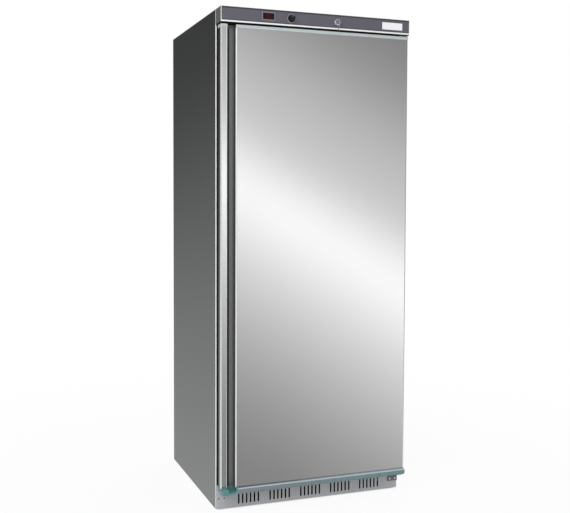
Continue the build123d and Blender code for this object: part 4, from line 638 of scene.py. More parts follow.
def cap_moulding():
    """Sea-green tinted moulding, with a painted highlight along its upper edge, a painted reflection on its
    top face that is lighter to the right, a front greyer in part as painted reflection, and painted shade
    along its foot.
    """
    low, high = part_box("door_bottom_cap")
    sheet = sheet_for("cap_teal")
    up = sheet.along("Z")
    across = sheet.along("X")
    # Painted reflection on the top face, painted highlight just below it, painted shade along the foot
    ledge_reflection = up > high.z - CAP_LEDGE
    crest_highlight = sheet.within("Z", high.z - CAP_HIGHLIGHT_DEEP, high.z - CAP_LEDGE)
    foot = up < low.z + CAP_FOOT_SHADE
    nose = across < low.x + CAP_NOSE
    reach = sheet.rise(across, -CAP_FADE, CAP_FADE)
    cloud = sheet.noise(*BLOOM)
    spark = sheet.noise(*SPARK)
    green = sheet.tint(cloud, CAP_TEAL, 0.8, 1.2)
    front = sheet.blend(0.7 * reach, sheet.tint(cloud, CAP_GREY_AND_REFLECTION, 0.85, 1.15), green)
    front = sheet.blend(foot, front, shade(CAP_TEAL, 0.35))
    front = sheet.blend(ledge_reflection, front, sheet.tint(reach, CAP_GREY_AND_REFLECTION, 0.5, 1.7))
    front = sheet.blend(crest_highlight, front, CAP_PALE_AND_HIGHLIGHT)
    sheet.surface(
        Base_Color=sheet.blend(nose, front, green),
        Roughness=0.22 + 0.06 * spark + 0.06 * cloud,
        Coat_Weight=0.3,
        Coat_Roughness=0.1,
        Normal=sheet.bump(spark, 10 * MICRON),
    )


# Depth of the painted shade along the top edge, and the span of the painted shadow over the recess
TOP_CAP_GAP_SHADE = 1.6 * MM
TOP_CAP_RECESS_SHADE = (26.0 * MM, 59.0 * MM)


def cap_top_moulding():
    """Pale moulding, with painted shade along its top edge by the gap under the fascia, and a painted
    shadow over the grip's recess.
    """
    low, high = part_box("door_top_cap")
    sheet = sheet_for("cap_pale")
    cloud = sheet.noise(*BLOOM)
    spark = sheet.noise(*SPARK)
    # Painted shade along the top edge
    rim = sheet.along("Z") > high.z - TOP_CAP_GAP_SHADE
    # Painted shadow over the grip's recess
    recess_shade = sheet.within("X", low.x + TOP_CAP_RECESS_SHADE[0], low.x + TOP_CAP_RECESS_SHADE[1])
    pale = sheet.tint(cloud, CAP_PALE_AND_HIGHLIGHT, 0.92, 1.14)
    pale = sheet.blend(recess_shade, pale, sheet.tint(cloud, RECESS_SHADED_GREY, 0.3, 0.5))
    sheet.surface(
        Base_Color=sheet.blend(rim, pale, SHADOW_GAP),
        Roughness=0.27 + 0.06 * spark + 0.04 * cloud,
        Normal=sheet.bump(spark, 10 * MICRON),
    )


door_steel()
side_steel()
painted("steel_inner", STEEL_INNER, 0.42, 0.6, 0.06)
fascia_steel()
# Front frame near black: painted shade in the gap round the door
painted("frame_grey", FRAME_SHADE_GREY, 0.4)
plinth_paint()
grip_aluminium()
recess_grey()
cap_moulding()
cap_top_moulding()
moulded("liner_plastic", LINER_WHITE, 0.24, 20 * MICRON)
foam_finish()
moulded("gasket_rubber", GASKET_GREY, 0.6)
moulded("magnet", MAGNET_BROWN, 0.6)
moulded("black_plastic", BLACK, 0.35, shine=0.2)
moulded("display_rim", RIM_GREY, 0.35)
moulded("dial_grey", DIAL_GREY, 0.35)
plated("bracket_grey", BRACKET_GREY, 0.35)
display_glass()
moulded("digit_red", DIGIT_RED, 0.3, shine=0.1)
moulded("label_white", LABEL_WHITE, 0.25, 4 * MICRON)
plated("chrome", shade(CHROME, 0.8), 0.12)
plated("zinc_steel", ZINC, 0.3)
plated("wire_steel", CHROME, 0.2)
finned("aluminium")
plated("copper", COPPER, 0.3)
painted("black_steel", BLACK, 0.35)
moulded("black_rubber", RUBBER_BLACK, 0.65, 30 * MICRON)
moulded("grey_plastic", GREY_PLASTIC, 0.4)

# The CAD nodes of each finish
finish_nodes = {
    "steel_door": "door_skin",
    "side_steel": "side_panels top_panel",
    "steel_inner": "back_panel bottom_pan floor_rails roller_brackets machine_tray service_cover",
    "fascia_steel": "control_fascia",
    "frame_grey": "front_frame",
    "plinth_steel": "plinth_grille",
    "grip_aluminium": "grip_profile",
    "recess_grey": "recess_plate",
    "cap_teal": "door_bottom_cap",
    "cap_pale": "door_top_cap",
    "liner_plastic": "inner_liner door_liner evaporator_cover",
    "foam": "cabinet_foam door_foam",
    "gasket_rubber": "door_gasket",
    "magnet": "gasket_magnets",
    "black_plastic": (
        "thermostat_body thermostat_knob hinge_bushes evaporator_fan condenser_fan terminal_box "
        "evaporation_bowl mains_gland"
    ),
    "display_rim": "display_case",
    "display_glass": "display_window",
    "label_white": "label_plate",
    "bracket_grey": "hinge_brackets",
    "chrome": "lock_barrel",
    "zinc_steel": "thermostat_shaft lock_rotor lock_key lock_keeper spare_key_ring hinge_pins panel_screws",
    "wire_steel": "wire_shelf_1 wire_shelf_2 wire_shelf_3 wire_shelf_4",
    "aluminium": "evaporator_coil condenser_coil",
    "copper": "refrigerant_pipes",
    "black_steel": "left_front_foot right_front_foot fan_motors compressor",
    "black_rubber": "left_rear_roller right_rear_roller compressor_grommets",
    "grey_plastic": "shelf_racks temperature_probe drain_tube",
}
node_finish = {node: finish for finish, nodes in finish_nodes.items() for node in nodes.split()}


def dress_cad_nodes():
    """Gives every CAD node its finish."""
    for name, thing in cad_nodes.items():
        thing.data.materials.clear()
        thing.data.materials.append(finishes[node_finish[name]])


# Mesh tools, in millimetres

JOINED_WITHIN = 0.005
FLAT_WITHIN = math.radians(2.0)
ALONG_WITHIN = 0.999


def body_of(node):
    """The body that a CAD node rides on."""
    return cad_nodes[node].parent.name.split(":", 1)[1]


def box_mm(node):
    """Lowest corner, highest corner and middle of a CAD node."""
    low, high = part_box(node)
    return low / MM, high / MM, (low + high) / 2 / MM


def merge_near(form, distance):
    """Joins the vertices of a form that lie within a distance of each other."""
    bmesh.ops.remove_doubles(form, verts=form.verts, dist=distance * MM)


def edges_of(points):
    """The edges that meet some vertices."""
    return list({edge for point in points for edge in point.link_edges})


def bevel_edges(form, edges, width, segments, clamp=False):
    """Rounds some edges of a form."""
    bmesh.ops.bevel(
        form,
        geom=edges,
        offset=width * MM,
        offset_type="OFFSET",
        affect="EDGES",
        segments=segments,
        profile=0.5,
        material=-1,
        clamp_overlap=clamp,
    )


def round_edges(form, width, segments=3, angle=25.0):
    """Rounds every edge of a form that turns by more than an angle."""
    least = math.radians(angle)
    folds = [edge for edge in form.edges if len(edge.link_faces) == 2]
    sharp = [edge for edge in folds if edge.calc_face_angle() > least]
    bevel_edges(form, sharp, width, segments, clamp=True)


def add_block(form, low, high):
    """A box between two corners."""
    low, high = Vector(low) * MM, Vector(high) * MM
    size = Matrix.Diagonal((*(high - low), 1))
    placed = Matrix.Translation((low + high) / 2) @ size
    bmesh.ops.create_cube(form, size=1, matrix=placed)


def facing(direction):
    """A turn that points Z along a direction."""
    return direction.to_track_quat("Z", "Y").to_matrix().to_4x4()


def add_bar(form, start, end, diameter, sides):
    """A bar between two points. Gives its vertices."""
    start, end = Vector(start) * MM, Vector(end) * MM
    made = bmesh.ops.create_cone(
        form,
        cap_ends=True,
        segments=sides,
        radius1=diameter / 2 * MM,
        radius2=diameter / 2 * MM,
        depth=(end - start).length,
        matrix=Matrix.Translation((start + end) / 2) @ facing(end - start),
    )
    return made["verts"]


def add_lathe(form, profile, centre, axis, steps):
    """Spins a profile about an axis. Its points give a radius and a place along the axis."""
    along = AXES[axis]
    out = AXES["X"] if axis == "Z" else AXES["Z"]
    centre = Vector(centre) * MM
    places = [centre + (out * radius + along * place) * MM for radius, place in profile]
    points = [form.verts.new(place) for place in places]
    lines = [form.edges.new(pair) for pair in zip(points, points[1:])]
    bmesh.ops.spin(
        form,
        geom=points + lines,
        cent=centre,
        axis=along,
        angle=2 * math.pi,
        steps=steps,
        use_merge=True,
    )
    merge_near(form, 0.001)


def add_elbow(form, centre, start, axis, angle, diameter, sides=12, steps=8):
    """A bent length of round bar: a circle carried round a centre."""
    start = Vector(start) * MM
    centre = Vector(centre) * MM
    turn = facing(AXES[axis].cross(start - centre).normalized())
    ring = bmesh.ops.create_circle(
        form,
        segments=sides,
        radius=diameter / 2 * MM,
        matrix=Matrix.Translation(start) @ turn,
    )["verts"]
    bmesh.ops.spin(
        form,
        geom=ring + edges_of(ring),
        cent=centre,
        axis=AXES[axis],
        angle=angle,
        steps=steps,
    )


def edges_along(form, axis, least=0.0, most=math.inf):
    """Edges that run along an axis, with a length between two values."""
    chosen = []
    for edge in form.edges:
        line = edge.verts[1].co - edge.verts[0].co
        fits = least * MM <= line.length <= most * MM
        if fits and abs(line.normalized().dot(AXES[axis])) > ALONG_WITHIN:
            chosen.append(edge)
    return chosen


def make_piece(name, form, finish, body, smooth=35.0):
    """Finishes a form as a piece that rides on a body."""
    bmesh.ops.recalc_face_normals(form, faces=form.faces)
    mesh = bpy.data.meshes.new(name)
    form.to_mesh(mesh)
    form.free()
    mesh.shade_smooth()
    mesh.set_sharp_from_angle(angle=math.radians(smooth))
    mesh.materials.append(finishes[finish])
    piece = bpy.data.objects.new(name, mesh)
    bpy.context.scene.collection.objects.link(piece)
    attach(piece, body)
    return piece


def stand_in(node, form, smooth=35.0, name=None):
    """Finishes a form as the piece that stands for a CAD node, on the node's body."""
    name = name or node + "_finished"
    piece = make_piece(name, form, node_finish[node], body_of(node), smooth)
    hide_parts(node)
    return piece


def whole_copy(node):
    """A CAD node's surface, its loose triangles joined and its flat faces made whole."""
    form = bmesh.new()
    form.from_mesh(cad_nodes[node].data)
    merge_near(form, JOINED_WITHIN)
    bmesh.ops.dissolve_limit(form, angle_limit=FLAT_WITHIN, verts=form.verts, edges=form.edges)
    return form


def soften(node, width, segments=2, angle=25.0, name=None, form=None):
    """Stands a copy of a CAD node in its place, with its sharp edges rounded."""
    piece = stand_in(node, form or whole_copy(node), name=name)
    rounding = piece.modifiers.new("rounded_edges", "BEVEL")
    rounding.width = width * MM
    rounding.segments = segments
    rounding.limit_method = "ANGLE"
    rounding.angle_limit = math.radians(angle)
    flattening = piece.modifiers.new("flat_faces", "WEIGHTED_NORMAL")
    flattening.weight = 100
    flattening.keep_sharp = True


# Control panel

KNOB_SKIRT = 3.5
POINTER_WIDE = 1.6
POINTER_PROUD = 0.05
POINTER_DEEP = 1.2
POINTER_SPAN = (0.2, 0.7)
DIAL_RING = (14.8, 17.3)
DIAL_RING_PROUD = 0.9
DIAL_RING_SUNK = 0.2


def make_knob():
    """Black knob with a grey pointer, in a grey ring on the fascia."""
    low, high, middle = box_mm("thermostat_knob")
    radius = (high.x - low.x) / 2
    tall = low.y - high.y
    profile = [
        (0, 0), (radius, 0), (radius, -KNOB_SKIRT * 0.6), (radius * 0.9, -KNOB_SKIRT),
        (radius * 0.8, tall * 0.92), (radius * 0.74, tall), (radius * 0.6, tall),
        (radius * 0.52, tall * 0.95), (0, tall * 0.95),
    ]
    form = bmesh.new()
    add_lathe(form, profile, (middle.x, high.y, middle.z), "Y", 64)
    round_edges(form, 0.35, 2, 30)
    stand_in("thermostat_knob", form, 40, "knob")

    bottom, top = (middle.z + radius * share for share in POINTER_SPAN)
    half = POINTER_WIDE / 2
    start = (middle.x - half, low.y - POINTER_PROUD, bottom)
    form = bmesh.new()
    add_block(form, start, (middle.x + half, low.y + POINTER_DEEP, top))
    round_edges(form, 0.15, 2)
    make_piece("knob_pointer", form, "dial_grey", "knob")

    panel = box_mm("control_fascia")[0].y
    inner, outer = DIAL_RING
    back, front = DIAL_RING_SUNK, -DIAL_RING_PROUD
    profile = [(inner, back), (outer, back), (outer, front), (inner, front), (inner, back)]
    form = bmesh.new()
    add_lathe(form, profile, (middle.x, panel, middle.z), "Y", 64)
    round_edges(form, 0.35, 3)
    make_piece("knob_ring", form, "dial_grey", "cabinet")


SEGMENT_THICK = 1.1
SEGMENT_LONG = 6.6
SEGMENT_GAP = 0.66
DIGIT_PITCH = 11.0
DIGIT_PROUD = 0.06
DIGIT_SUNK = 0.05


def make_display():
    """Thermometer window with two dim digits behind its dark glass."""
    soften("display_case", 0.5, 3)
    soften("display_window", 0.3, 2)
    low, _, centre = box_mm("display_window")
    half_thick = SEGMENT_THICK / 2
    half_long = SEGMENT_LONG / 2
    reach = half_long - SEGMENT_GAP
    form = bmesh.new()

    def add_segment(x, z, half_wide, half_high):
        start = (x - half_wide, low.y - DIGIT_PROUD, z - half_high)
        add_block(form, start, (x + half_wide, low.y + DIGIT_SUNK, z + half_high))

    for digit in (-0.5, 0.5):
        middle = centre.x + digit * DIGIT_PITCH
        for level in (-SEGMENT_LONG, 0, SEGMENT_LONG):
            add_segment(middle, centre.z + level, reach, half_thick)
        for edge in (middle - half_long, middle + half_long):
            for level in (-half_long, half_long):
                add_segment(edge, centre.z + level, half_thick, reach)
    make_piece("display_digits", form, "digit_red", "cabinet")


LOCK_BORE = 6.05
LOCK_BODY = 9.0
FLANGE_SLOPE = 3.2
FLANGE_EDGE = 0.6


def make_lock():
    """Bright lock barrel with a rounded flange, and its rotor."""
    low, high, middle = box_mm("lock_barrel")
    panel = box_mm("control_fascia")[0].y
    rim = (high.x - low.x) / 2
    front = low.y - panel
    back = high.y - panel
    profile = [
        (LOCK_BORE, front), (rim - FLANGE_SLOPE, front), (rim - FLANGE_EDGE, front + 0.9),
        (rim, front + 1.6), (rim, 0), (LOCK_BODY, 0), (LOCK_BODY, back), (LOCK_BORE, back),
        (LOCK_BORE, front),
    ]
    form = bmesh.new()
    add_lathe(form, profile, (middle.x, panel, middle.z), "Y", 64)
    round_edges(form, 0.3, 3, 20)
    stand_in("lock_barrel", form, name="lock_flange")
    soften("lock_rotor", 0.25, 2, 40)


KEY_THICK = 2.0
KEY_HOLE_RADIUS = 2.0
BLADE_LAP = 1.0
BLADE_THICK = 1.8
KEY_TEETH = (0.45, 0.62, 0.8)
TOOTH_WIDE = 1.4
TOOTH_THICK = 1.88
# The key lies on the YZ plane, its blade pointing back or down
BLADE_BACK = Matrix(((0, 0, 1), (1, 0, 0), (0, 1, 0))).to_4x4()
BLADE_DOWN = Matrix(((0, 0, 1), (0, 1, 0), (-1, 0, 0))).to_4x4()


def add_key(form, place, bow, hole, blade, turn):
    """A flat key with a round bow, drilled for its ring, and a toothed blade."""
    height, length = blade
    rim = bmesh.ops.create_circle(form, segments=40, radius=bow / 2)["verts"]
    drilled = Matrix.Translation((*hole, 0))
    bore = bmesh.ops.create_circle(form, segments=20, radius=KEY_HOLE_RADIUS, matrix=drilled)["verts"]
    loops = edges_of(rim + bore)
    filled = bmesh.ops.triangle_fill(form, use_beauty=True, use_dissolve=True, edges=loops)
    faces = [part for part in filled["geom"] if isinstance(part, bmesh.types.BMFace)]
    raised = bmesh.ops.extrude_face_region(form, geom=faces)["geom"]
    raised = [part for part in raised if isinstance(part, bmesh.types.BMVert)]
    bmesh.ops.translate(form, verts=raised, vec=(0, 0, KEY_THICK))
    points = rim + bore + raised

    def add_part(x, y, size):
        placed = Matrix.Translation((x, y, KEY_THICK / 2)) @ Matrix.Diagonal((*size, 1))
        points.extend(bmesh.ops.create_cube(form, size=1, matrix=placed)["verts"])

    add_part((bow + length - BLADE_LAP) / 2, 0, (length + BLADE_LAP, height, BLADE_THICK))
    for share in KEY_TEETH:
        size = (TOOTH_WIDE, height * 0.35, TOOTH_THICK)
        add_part(bow / 2 + length * share, -height / 2, size)
    bmesh.ops.translate(form, verts=points, vec=(0, 0, -KEY_THICK / 2))
    bmesh.ops.scale(form, verts=points, vec=(MM, MM, MM))
    bmesh.ops.transform(form, verts=points, matrix=Matrix.Translation(Vector(place) * MM) @ turn)


LOCK_KEY_BOW = 20.0
LOCK_KEY_HOLE = (0, 6.0)
LOCK_KEY_BLADE = (7.5, 15.0)
SPARE_BOW = 13.0
SPARE_HOLE = (-3.0, 0)
SPARE_BLADE = (6.0, 8.0)
RING_DIAMETER = 21.0
RING_WIRE = 1.5


def make_keys():
    """The key in the lock, and the spare that hangs from it on a ring."""
    low, _, middle = box_mm("lock_key")
    x = middle.x
    form = bmesh.new()
    bow_place = (x, low.y + LOCK_KEY_BOW / 2, middle.z)
    add_key(form, bow_place, LOCK_KEY_BOW, LOCK_KEY_HOLE, LOCK_KEY_BLADE, BLADE_BACK)
    round_edges(form, 0.25, 2, 40)
    stand_in("lock_key", form, name="key")

    low, high, middle = box_mm("spare_key_ring")
    y = middle.y
    ring_z = high.z - RING_DIAMETER / 2
    start = (x, y, ring_z + (RING_DIAMETER - RING_WIRE) / 2)
    form = bmesh.new()
    add_elbow(form, (x, y, ring_z), start, "Y", 2 * math.pi, RING_WIRE, 10, 40)
    merge_near(form, 0.01)
    spare_place = (x, y, low.z + SPARE_BLADE[1] + SPARE_BOW / 2)
    add_key(form, spare_place, SPARE_BOW, SPARE_HOLE, SPARE_BLADE, BLADE_DOWN)
    stand_in("spare_key_ring", form, 40, "spare_key")


# Plinth and back, with rounded slots

SLOT_MARGIN = 4.0


def round_slots(node, thick, corner, name):
    """Rounds the corners of a sheet's slots, whose short edges run back through its thickness."""
    form = whole_copy(node)
    low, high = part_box(node)
    margin = SLOT_MARGIN * MM
    chosen = []
    for line in edges_along(form, "Y", thick * 0.9, thick * 1.1):
        place = line.verts[0].co
        inside_x = low.x + margin < place.x < high.x - margin
        inside_z = low.z + margin < place.z < high.z - margin
        square = len(line.link_faces) == 2 and abs(line.calc_face_angle() - math.pi / 2) < 0.01
        if inside_x and inside_z and square:
            chosen.append(line)
    bevel_edges(form, chosen, corner, 5)
    soften(node, 0.25, 2, 40, name, form)


# Feet and rollers

PAD_HEIGHT = 9.0
NUT_HEIGHT = 15.0
NUT_CORNERS = 17.0 * 2 / math.sqrt(3)
STUD_RADIUS = 5.0
THREAD_PITCH = 1.75
THREAD_DEPTH = 0.6


def make_foot(node):
    """Levelling foot: a moulded pad, a hexagon and a threaded stud."""
    low, high, middle = box_mm(node)
    x, y = middle.x, middle.y
    pad = (high.x - low.x) / 2
    form = bmesh.new()
    profile = [(0, 0), (pad - 1.5, 0), (pad, 1.5), (pad, 6), (pad - 3.5, PAD_HEIGHT), (0, PAD_HEIGHT)]
    add_lathe(form, profile, (x, y, low.z), "Z", 56)
    round_edges(form, 0.5, 3, 20)
    height = PAD_HEIGHT + NUT_HEIGHT
    start = (x, y, low.z + PAD_HEIGHT)
    nut = add_bar(form, start, (x, y, low.z + height), NUT_CORNERS, 6)
    bevel_edges(form, edges_of(nut), 0.7, 2)
    tall = high.z - low.z
    root = STUD_RADIUS - THREAD_DEPTH
    thread = [(0, height - 0.5), (root, height - 0.5)]
    while height + THREAD_PITCH < tall:
        thread.append((root, height + 0.2))
        thread.append((STUD_RADIUS, height + THREAD_PITCH / 2))
        height += THREAD_PITCH
    thread += [(root, tall - 0.3), (root - THREAD_DEPTH, tall), (0, tall)]
    add_lathe(form, thread, (x, y, low.z), "Z", 24)
    stand_in(node, form, 30)


ROLLER_BORE = 4.05
HUB_RADIUS = 9.0
WEB_SINK = 3.0
RIM_THICK = 8.0


def make_roller(node):
    """Rubber roller with a rounded tread and a recessed web."""
    low, high, middle = box_mm(node)
    half = (high.x - low.x) / 2
    radius = (high.z - low.z) / 2
    web = half - WEB_SINK
    left_side = [
        (ROLLER_BORE, -half), (HUB_RADIUS, -half), (HUB_RADIUS + 0.6, -web),
        (radius - RIM_THICK, -web), (radius - 7, -half + 0.4), (radius - 2, -half),
        (radius, -half + 3),
    ]
    right_side = [(out, -place) for out, place in reversed(left_side)]
    form = bmesh.new()
    add_lathe(form, left_side + right_side + left_side[:1], middle, "X", 64)
    round_edges(form, 0.6, 3, 20)
    stand_in(node, form, 40)


# Wire shelves

SHELF_ROD = 8.0
SHELF_WIRE = 3.2
SHELF_CORNER = 14.0
SHELF_WIRES = 27
STAY_PLACES = (0.3, 0.7)
STAY_INSET = 22.0
STAY_WIDE = 12.0
STAY_THICK = 3.0
STAY_LAP = 0.2


def make_shelf(number):
    """Wire shelf: a bent frame, wires from front to back and two flat stays below."""
    node = "wire_shelf_" + str(number)
    low, high, _ = box_mm(node)
    rod = SHELF_ROD / 2
    z = high.z - rod
    left, right = low.x + rod, high.x - rod
    front, back = low.y + rod, high.y - rod
    form = bmesh.new()
    for y in (front, back):
        add_bar(form, (left + SHELF_CORNER, y, z), (right - SHELF_CORNER, y, z), SHELF_ROD, 12)
    for x in (left, right):
        add_bar(form, (x, front + SHELF_CORNER, z), (x, back - SHELF_CORNER, z), SHELF_ROD, 12)
    for x, side in ((left, 1), (right, -1)):
        for y, end in ((front, 1), (back, -1)):
            centre = (x + side * SHELF_CORNER, y + end * SHELF_CORNER, z)
            start = (x, y + end * SHELF_CORNER, z)
            add_elbow(form, centre, start, "Z", side * end * math.pi / 2, SHELF_ROD)
    pitch = (right - left) / (SHELF_WIRES + 1)
    for wire in range(1, SHELF_WIRES + 1):
        x = left + wire * pitch
        add_bar(form, (x, front, z), (x, back, z), SHELF_WIRE, 8)
    stay_top = z - SHELF_WIRE / 2 + STAY_LAP
    for share in STAY_PLACES:
        y = low.y + share * (high.y - low.y)
        start = (left + STAY_INSET, y - STAY_WIDE / 2, stay_top - STAY_THICK)
        add_block(form, start, (right - STAY_INSET, y + STAY_WIDE / 2, stay_top))
    stand_in(node, form, 45)


# Cooling unit

POT_SEAM = 4.0
POT_WIDE = 204.0
POT_DEEP = 150.0
PLATE_THICK = 3.0
PLATE_CORNER = 12.0
PLATE_LAP = 0.2


def make_compressor():
    """Domed compressor pot with a welded seam, on its foot plate."""
    low, high, middle = box_mm("compressor")
    plate = low.z + PLATE_THICK
    tall = high.z - plate
    wide = POT_WIDE / 2
    seam = tall / 2
    profile = [
        (0, 0), (wide * 0.8, 0), (wide * 0.93, tall * 0.03), (wide * 0.985, tall * 0.1),
        (wide, tall * 0.18), (wide, seam - 2.5), (wide + POT_SEAM, seam - 2),
        (wide + POT_SEAM, seam + 2), (wide, seam + 2.5), (wide, tall * 0.78),
        (wide * 0.975, tall * 0.86), (wide * 0.9, tall * 0.925), (wide * 0.76, tall * 0.97),
        (wide * 0.55, tall * 0.993), (0, tall),
    ]
    form = bmesh.new()
    add_lathe(form, profile, (middle.x, middle.y, plate), "Z", 72)
    centred = Matrix.Translation((0, middle.y * MM, 0))
    flatter = Matrix.Diagonal((1, POT_DEEP / POT_WIDE, 1, 1))
    squash = centred @ flatter @ centred.inverted()
    bmesh.ops.transform(form, verts=form.verts, matrix=squash)
    stand_in("compressor", form, 30, "compressor_pot")

    form = bmesh.new()
    add_block(form, low, (high.x, high.y, plate + PLATE_LAP))
    bevel_edges(form, edges_along(form, "Z"), PLATE_CORNER, 5)
    make_piece("compressor_plate", form, "black_steel", "cabinet", 30)


MOUNT_RADIUS = 12.0
WASHER_WIDE = 17.0
WASHER_THICK = 1.5
WASHER_SUNK = 0.1
BOLT_WIDE = 10.4
BOLT_TALL = 4.0


def make_mounts():
    """Ribbed rubber mounts under the compressor, each with its bolt."""
    low, high, _ = box_mm("compressor_grommets")
    radius = MOUNT_RADIUS
    tall = high.z - low.z
    profile = [
        (0, 0), (radius, 0), (radius, tall * 0.25), (radius * 0.75, tall * 0.35),
        (radius * 0.75, tall * 0.6), (radius, tall * 0.7), (radius, tall), (0, tall),
    ]
    seat = high.z + PLATE_THICK - WASHER_SUNK
    washer_top = seat + WASHER_THICK
    rubber = bmesh.new()
    bolts = bmesh.new()
    for x in (low.x + radius, high.x - radius):
        for y in (low.y + radius, high.y - radius):
            add_lathe(rubber, profile, (x, y, low.z), "Z", 32)
            add_bar(bolts, (x, y, seat), (x, y, washer_top), WASHER_WIDE, 32)
            add_bar(bolts, (x, y, washer_top), (x, y, washer_top + BOLT_TALL), BOLT_WIDE, 6)
    round_edges(rubber, 0.6, 2, 30)
    stand_in("compressor_grommets", rubber, name="compressor_mounts")
    make_piece("mount_bolts", bolts, "zinc_steel", "cabinet", 30)


TUBE_SIDES = 8
TUBE_RIM = 0.4
TUBE_LEVELS = 2


def smooth_tube(node):
    """A CAD tube with flat sides, made round by subdividing a copy of it."""
    form = whole_copy(node)
    ends = [face for face in form.faces if len(face.verts) == TUBE_SIDES]
    bmesh.ops.inset_individual(form, faces=ends, thickness=TUBE_RIM * MM)
    piece = stand_in(node, form, 60)
    rounding = piece.modifiers.new("round_wall", "SUBSURF")
    rounding.levels = TUBE_LEVELS
    rounding.render_levels = TUBE_LEVELS


# How far the edges of each other folded or moulded CAD node are rounded, in millimetres
rounded_nodes = {
    "side_panels": 0.4,
    "top_panel": 0.3,
    "front_frame": 0.3,
    "inner_liner": 3.0,
    "control_fascia": 0.6,
    "label_plate": 0.3,
    "thermostat_body": 0.6,
    "grip_profile": 0.5,
    "door_skin": 0.3,
    "door_liner": 1.5,
    "door_gasket": 0.5,
    "door_top_cap": 0.5,
    "door_bottom_cap": 0.8,
    "lock_keeper": 0.3,
    "hinge_bushes": 0.5,
    "hinge_brackets": 0.6,
    "hinge_pins": 0.5,
    "panel_screws": 0.5,
    "shelf_racks": 0.6,
    "evaporator_cover": 1.2,
    "evaporator_fan": 0.5,
    "condenser_fan": 0.5,
    "temperature_probe": 0.6,
    "roller_brackets": 0.5,
    "floor_rails": 0.3,
    "machine_tray": 0.5,
    "terminal_box": 2.0,
    "evaporation_bowl": 0.8,
    "mains_gland": 0.8,
    "back_panel": 0.3,
}


def make_pieces():
    """Every piece that stands in for a CAD node or adds to one."""
    make_knob()
    make_display()
    make_lock()
    make_keys()
    round_slots("plinth_grille", 1.5, 2.4, "plinth_finished")
    round_slots("service_cover", 1.0, 2.9, "service_cover_finished")
    for side in ("left", "right"):
        make_foot(side + "_front_foot")
    for side in ("left", "right"):
        make_roller(side + "_rear_roller")
    for number in range(1, 5):
        make_shelf(number)
    make_compressor()
    make_mounts()
    smooth_tube("refrigerant_pipes")
    smooth_tube("drain_tube")
    soften("fan_motors", 1.2, 3, 20)
    for node, width in rounded_nodes.items():
        soften(node, width)


# Studio

# The bright line that the door mirrors runs round the studio on a tilted circle. These are
# levels of light by the sine of the height above it, in front of the object and behind it.
LIGHT_CIRCLE = Vector((0.509, 0.1245, 0.8517))
LIGHT_TOP = 2.0
FRONT_LIGHT = [
    (-1.0, 0.8), (-0.7, 0.9), (-0.5, 1.15), (-0.34, 1.05), (-0.28, 0.27),
    (-0.21, 0.33), (-0.15, 0.49), (-0.09, 0.73), (-0.03, 1.06), (0.015, 1.42),
    (0.045, 1.95), (0.08, 1.48), (0.105, 0.84), (0.14, 0.87), (0.19, 0.73),
    (0.24, 0.44), (0.3, 0.28), (0.6, 0.6), (1.0, 0.95),
]
BACK_LIGHT = [
    (-1.0, 1.0), (-0.5, 0.7), (-0.27, 0.49), (-0.13, 0.35), (-0.04, 0.24),
    (0.05, 0.13), (0.13, 0.06), (0.3, 0.1), (0.6, 0.5), (1.0, 0.95),
]
# Where the light from the front gives way to the light from behind, as shares of the depth
BEHIND = [(0.4, 0.0), (0.7, 1.0)]
PLAIN_LIGHT = 0.62


def light_levels(levels):
    """Ramp stops from levels of light by height."""
    return [((height + 1) / 2, level / LIGHT_TOP) for height, level in levels]


def make_studio():
    """White surroundings for the camera, and a soft gradient for light and reflections."""
    world = bpy.data.worlds.new("studio")
    bpy.context.scene.world = world
    sheet = Sheet(world)
    direction = sheet.node("TexCoord", {}, {}, "Generated")
    dot = {"operation": "DOT_PRODUCT"}
    height = sheet.node("VectorMath", dot, {0: direction, 1: LIGHT_CIRCLE}, "Value")
    depth = sheet.node("SeparateXYZ", {}, {"Vector": direction}, "Y")
    share = (height + 1) * 0.5
    front = sheet.ramp(share, light_levels(FRONT_LIGHT))
    back = sheet.ramp(share, light_levels(BACK_LIGHT))
    levels = sheet.blend(sheet.ramp((depth + 1) * 0.5, BEHIND), front, back)
    background = "Background"
    seen_in_metal = sheet.node(background, {}, {"Color": levels, "Strength": LIGHT_TOP})
    plain = sheet.node(background, {}, {"Color": grey(1.0), "Strength": PLAIN_LIGHT})
    white = sheet.node(background, {}, {"Color": grey(1.0), "Strength": 1.0})
    glossy = sheet.ray("Glossy")
    around = sheet.node("MixShader", {}, {0: glossy, 1: plain, 2: seen_in_metal})
    straight = sheet.ray("Camera") + sheet.ray("Transmission")
    shown = sheet.node("MixShader", {}, {0: straight, 1: around, 2: white})
    sheet.show("OutputWorld", shown)


FLOOR_REACH = 30.0
FLOOR_PALE = grey(0.9)
FLOOR_SHADE = grey(0.01)
# The shade under the object starts behind the door, and the floor fades into it over an inset
SHADE_FRONT = 85 * MM
SHADE_FADE = 20 * MM
# How much of the floor's own white shows near the object, and from where to where it grows
NEAR_WHITE = 0.93
WHITE_RISE = (1.0, 8 / 3)


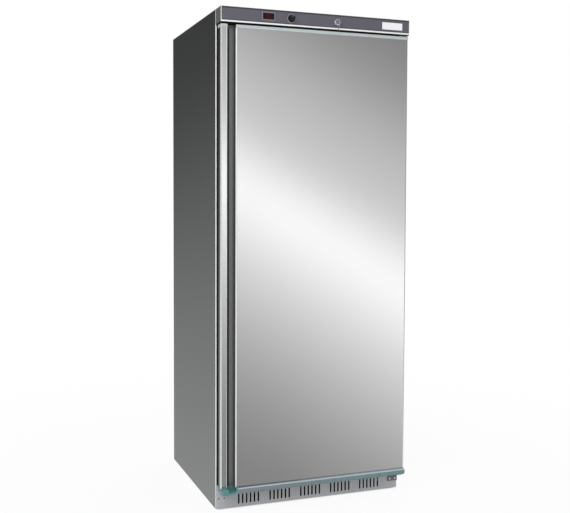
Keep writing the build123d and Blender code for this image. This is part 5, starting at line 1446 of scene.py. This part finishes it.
def make_floor():
    """A pale floor, white to the camera except in the shade under the object."""
    low, high = cad_box
    form = bmesh.new()
    bmesh.ops.create_grid(form, x_segments=1, y_segments=1, size=FLOOR_REACH)
    mesh = bpy.data.meshes.new("floor")
    form.to_mesh(mesh)
    form.free()
    floor = bpy.data.objects.new("floor", mesh)
    bpy.context.scene.collection.objects.link(floor)
    floor.visible_glossy = False
    sheet = sheet_for("pale_floor")
    across = inside_by(sheet, "X", low[0], high[0])
    along = inside_by(sheet, "Y", low[1] + SHADE_FRONT, high[1])
    open_floor = 1 - across * along
    colour = sheet.blend(open_floor, FLOOR_SHADE, FLOOR_PALE)
    matt = sheet.node("BsdfDiffuse", {}, {"Color": colour})
    white = sheet.node("Emission", {}, {"Color": grey(1.0), "Strength": 1.0})
    length = {"operation": "LENGTH"}
    away = sheet.node("VectorMath", length, {0: sheet.place()}, "Value")
    far = sheet.rise(away, *WHITE_RISE)
    bright = (NEAR_WHITE + (1 - NEAR_WHITE) * far) * open_floor * sheet.ray("Camera")
    shown = sheet.node("MixShader", {}, {0: bright, 1: matt, 2: white})
    sheet.show("OutputMaterial", shown)
    mesh.materials.append(finishes["pale_floor"])


def inside_by(sheet, axis, low, high):
    """Nought outside a span, rising to one a fade's width inside it."""
    half = (high - low) / 2
    distance = abs(sheet.along(axis) - (low + high) / 2)
    return sheet.rise(distance, half, half - SHADE_FADE)


# Lamps: their places, and their power in watts
LAMPS = {
    "key_lamp": (Vector((-2.4, -3.6, 3.2)), 90.0),
    "back_lamp": (Vector((2.5, 3.5, 3.0)), 60.0),
}
LAMP_AIM = Vector((0, 0, 0.9))
LAMP_SIZE = 2.5


def add_lamp(name, place, power):
    """A large soft lamp that lights matt surfaces and does not show in the metal."""
    data = bpy.data.lights.new(name, "AREA")
    data.shape = "SQUARE"
    data.size = LAMP_SIZE
    data.energy = power
    lamp = bpy.data.objects.new(name, data)
    turn = (LAMP_AIM - place).to_track_quat("-Z", "Y").to_matrix().to_4x4()
    lamp.matrix_world = Matrix.Translation(place) @ turn
    lamp.visible_glossy = False
    lamp.visible_camera = False
    bpy.context.scene.collection.objects.link(lamp)


place_camera()
bpy.context.scene.view_settings.view_transform = "Standard"
make_studio()
make_floor()
for name, (place, power) in LAMPS.items():
    add_lamp(name, place, power)
dress_cad_nodes()
make_pieces()
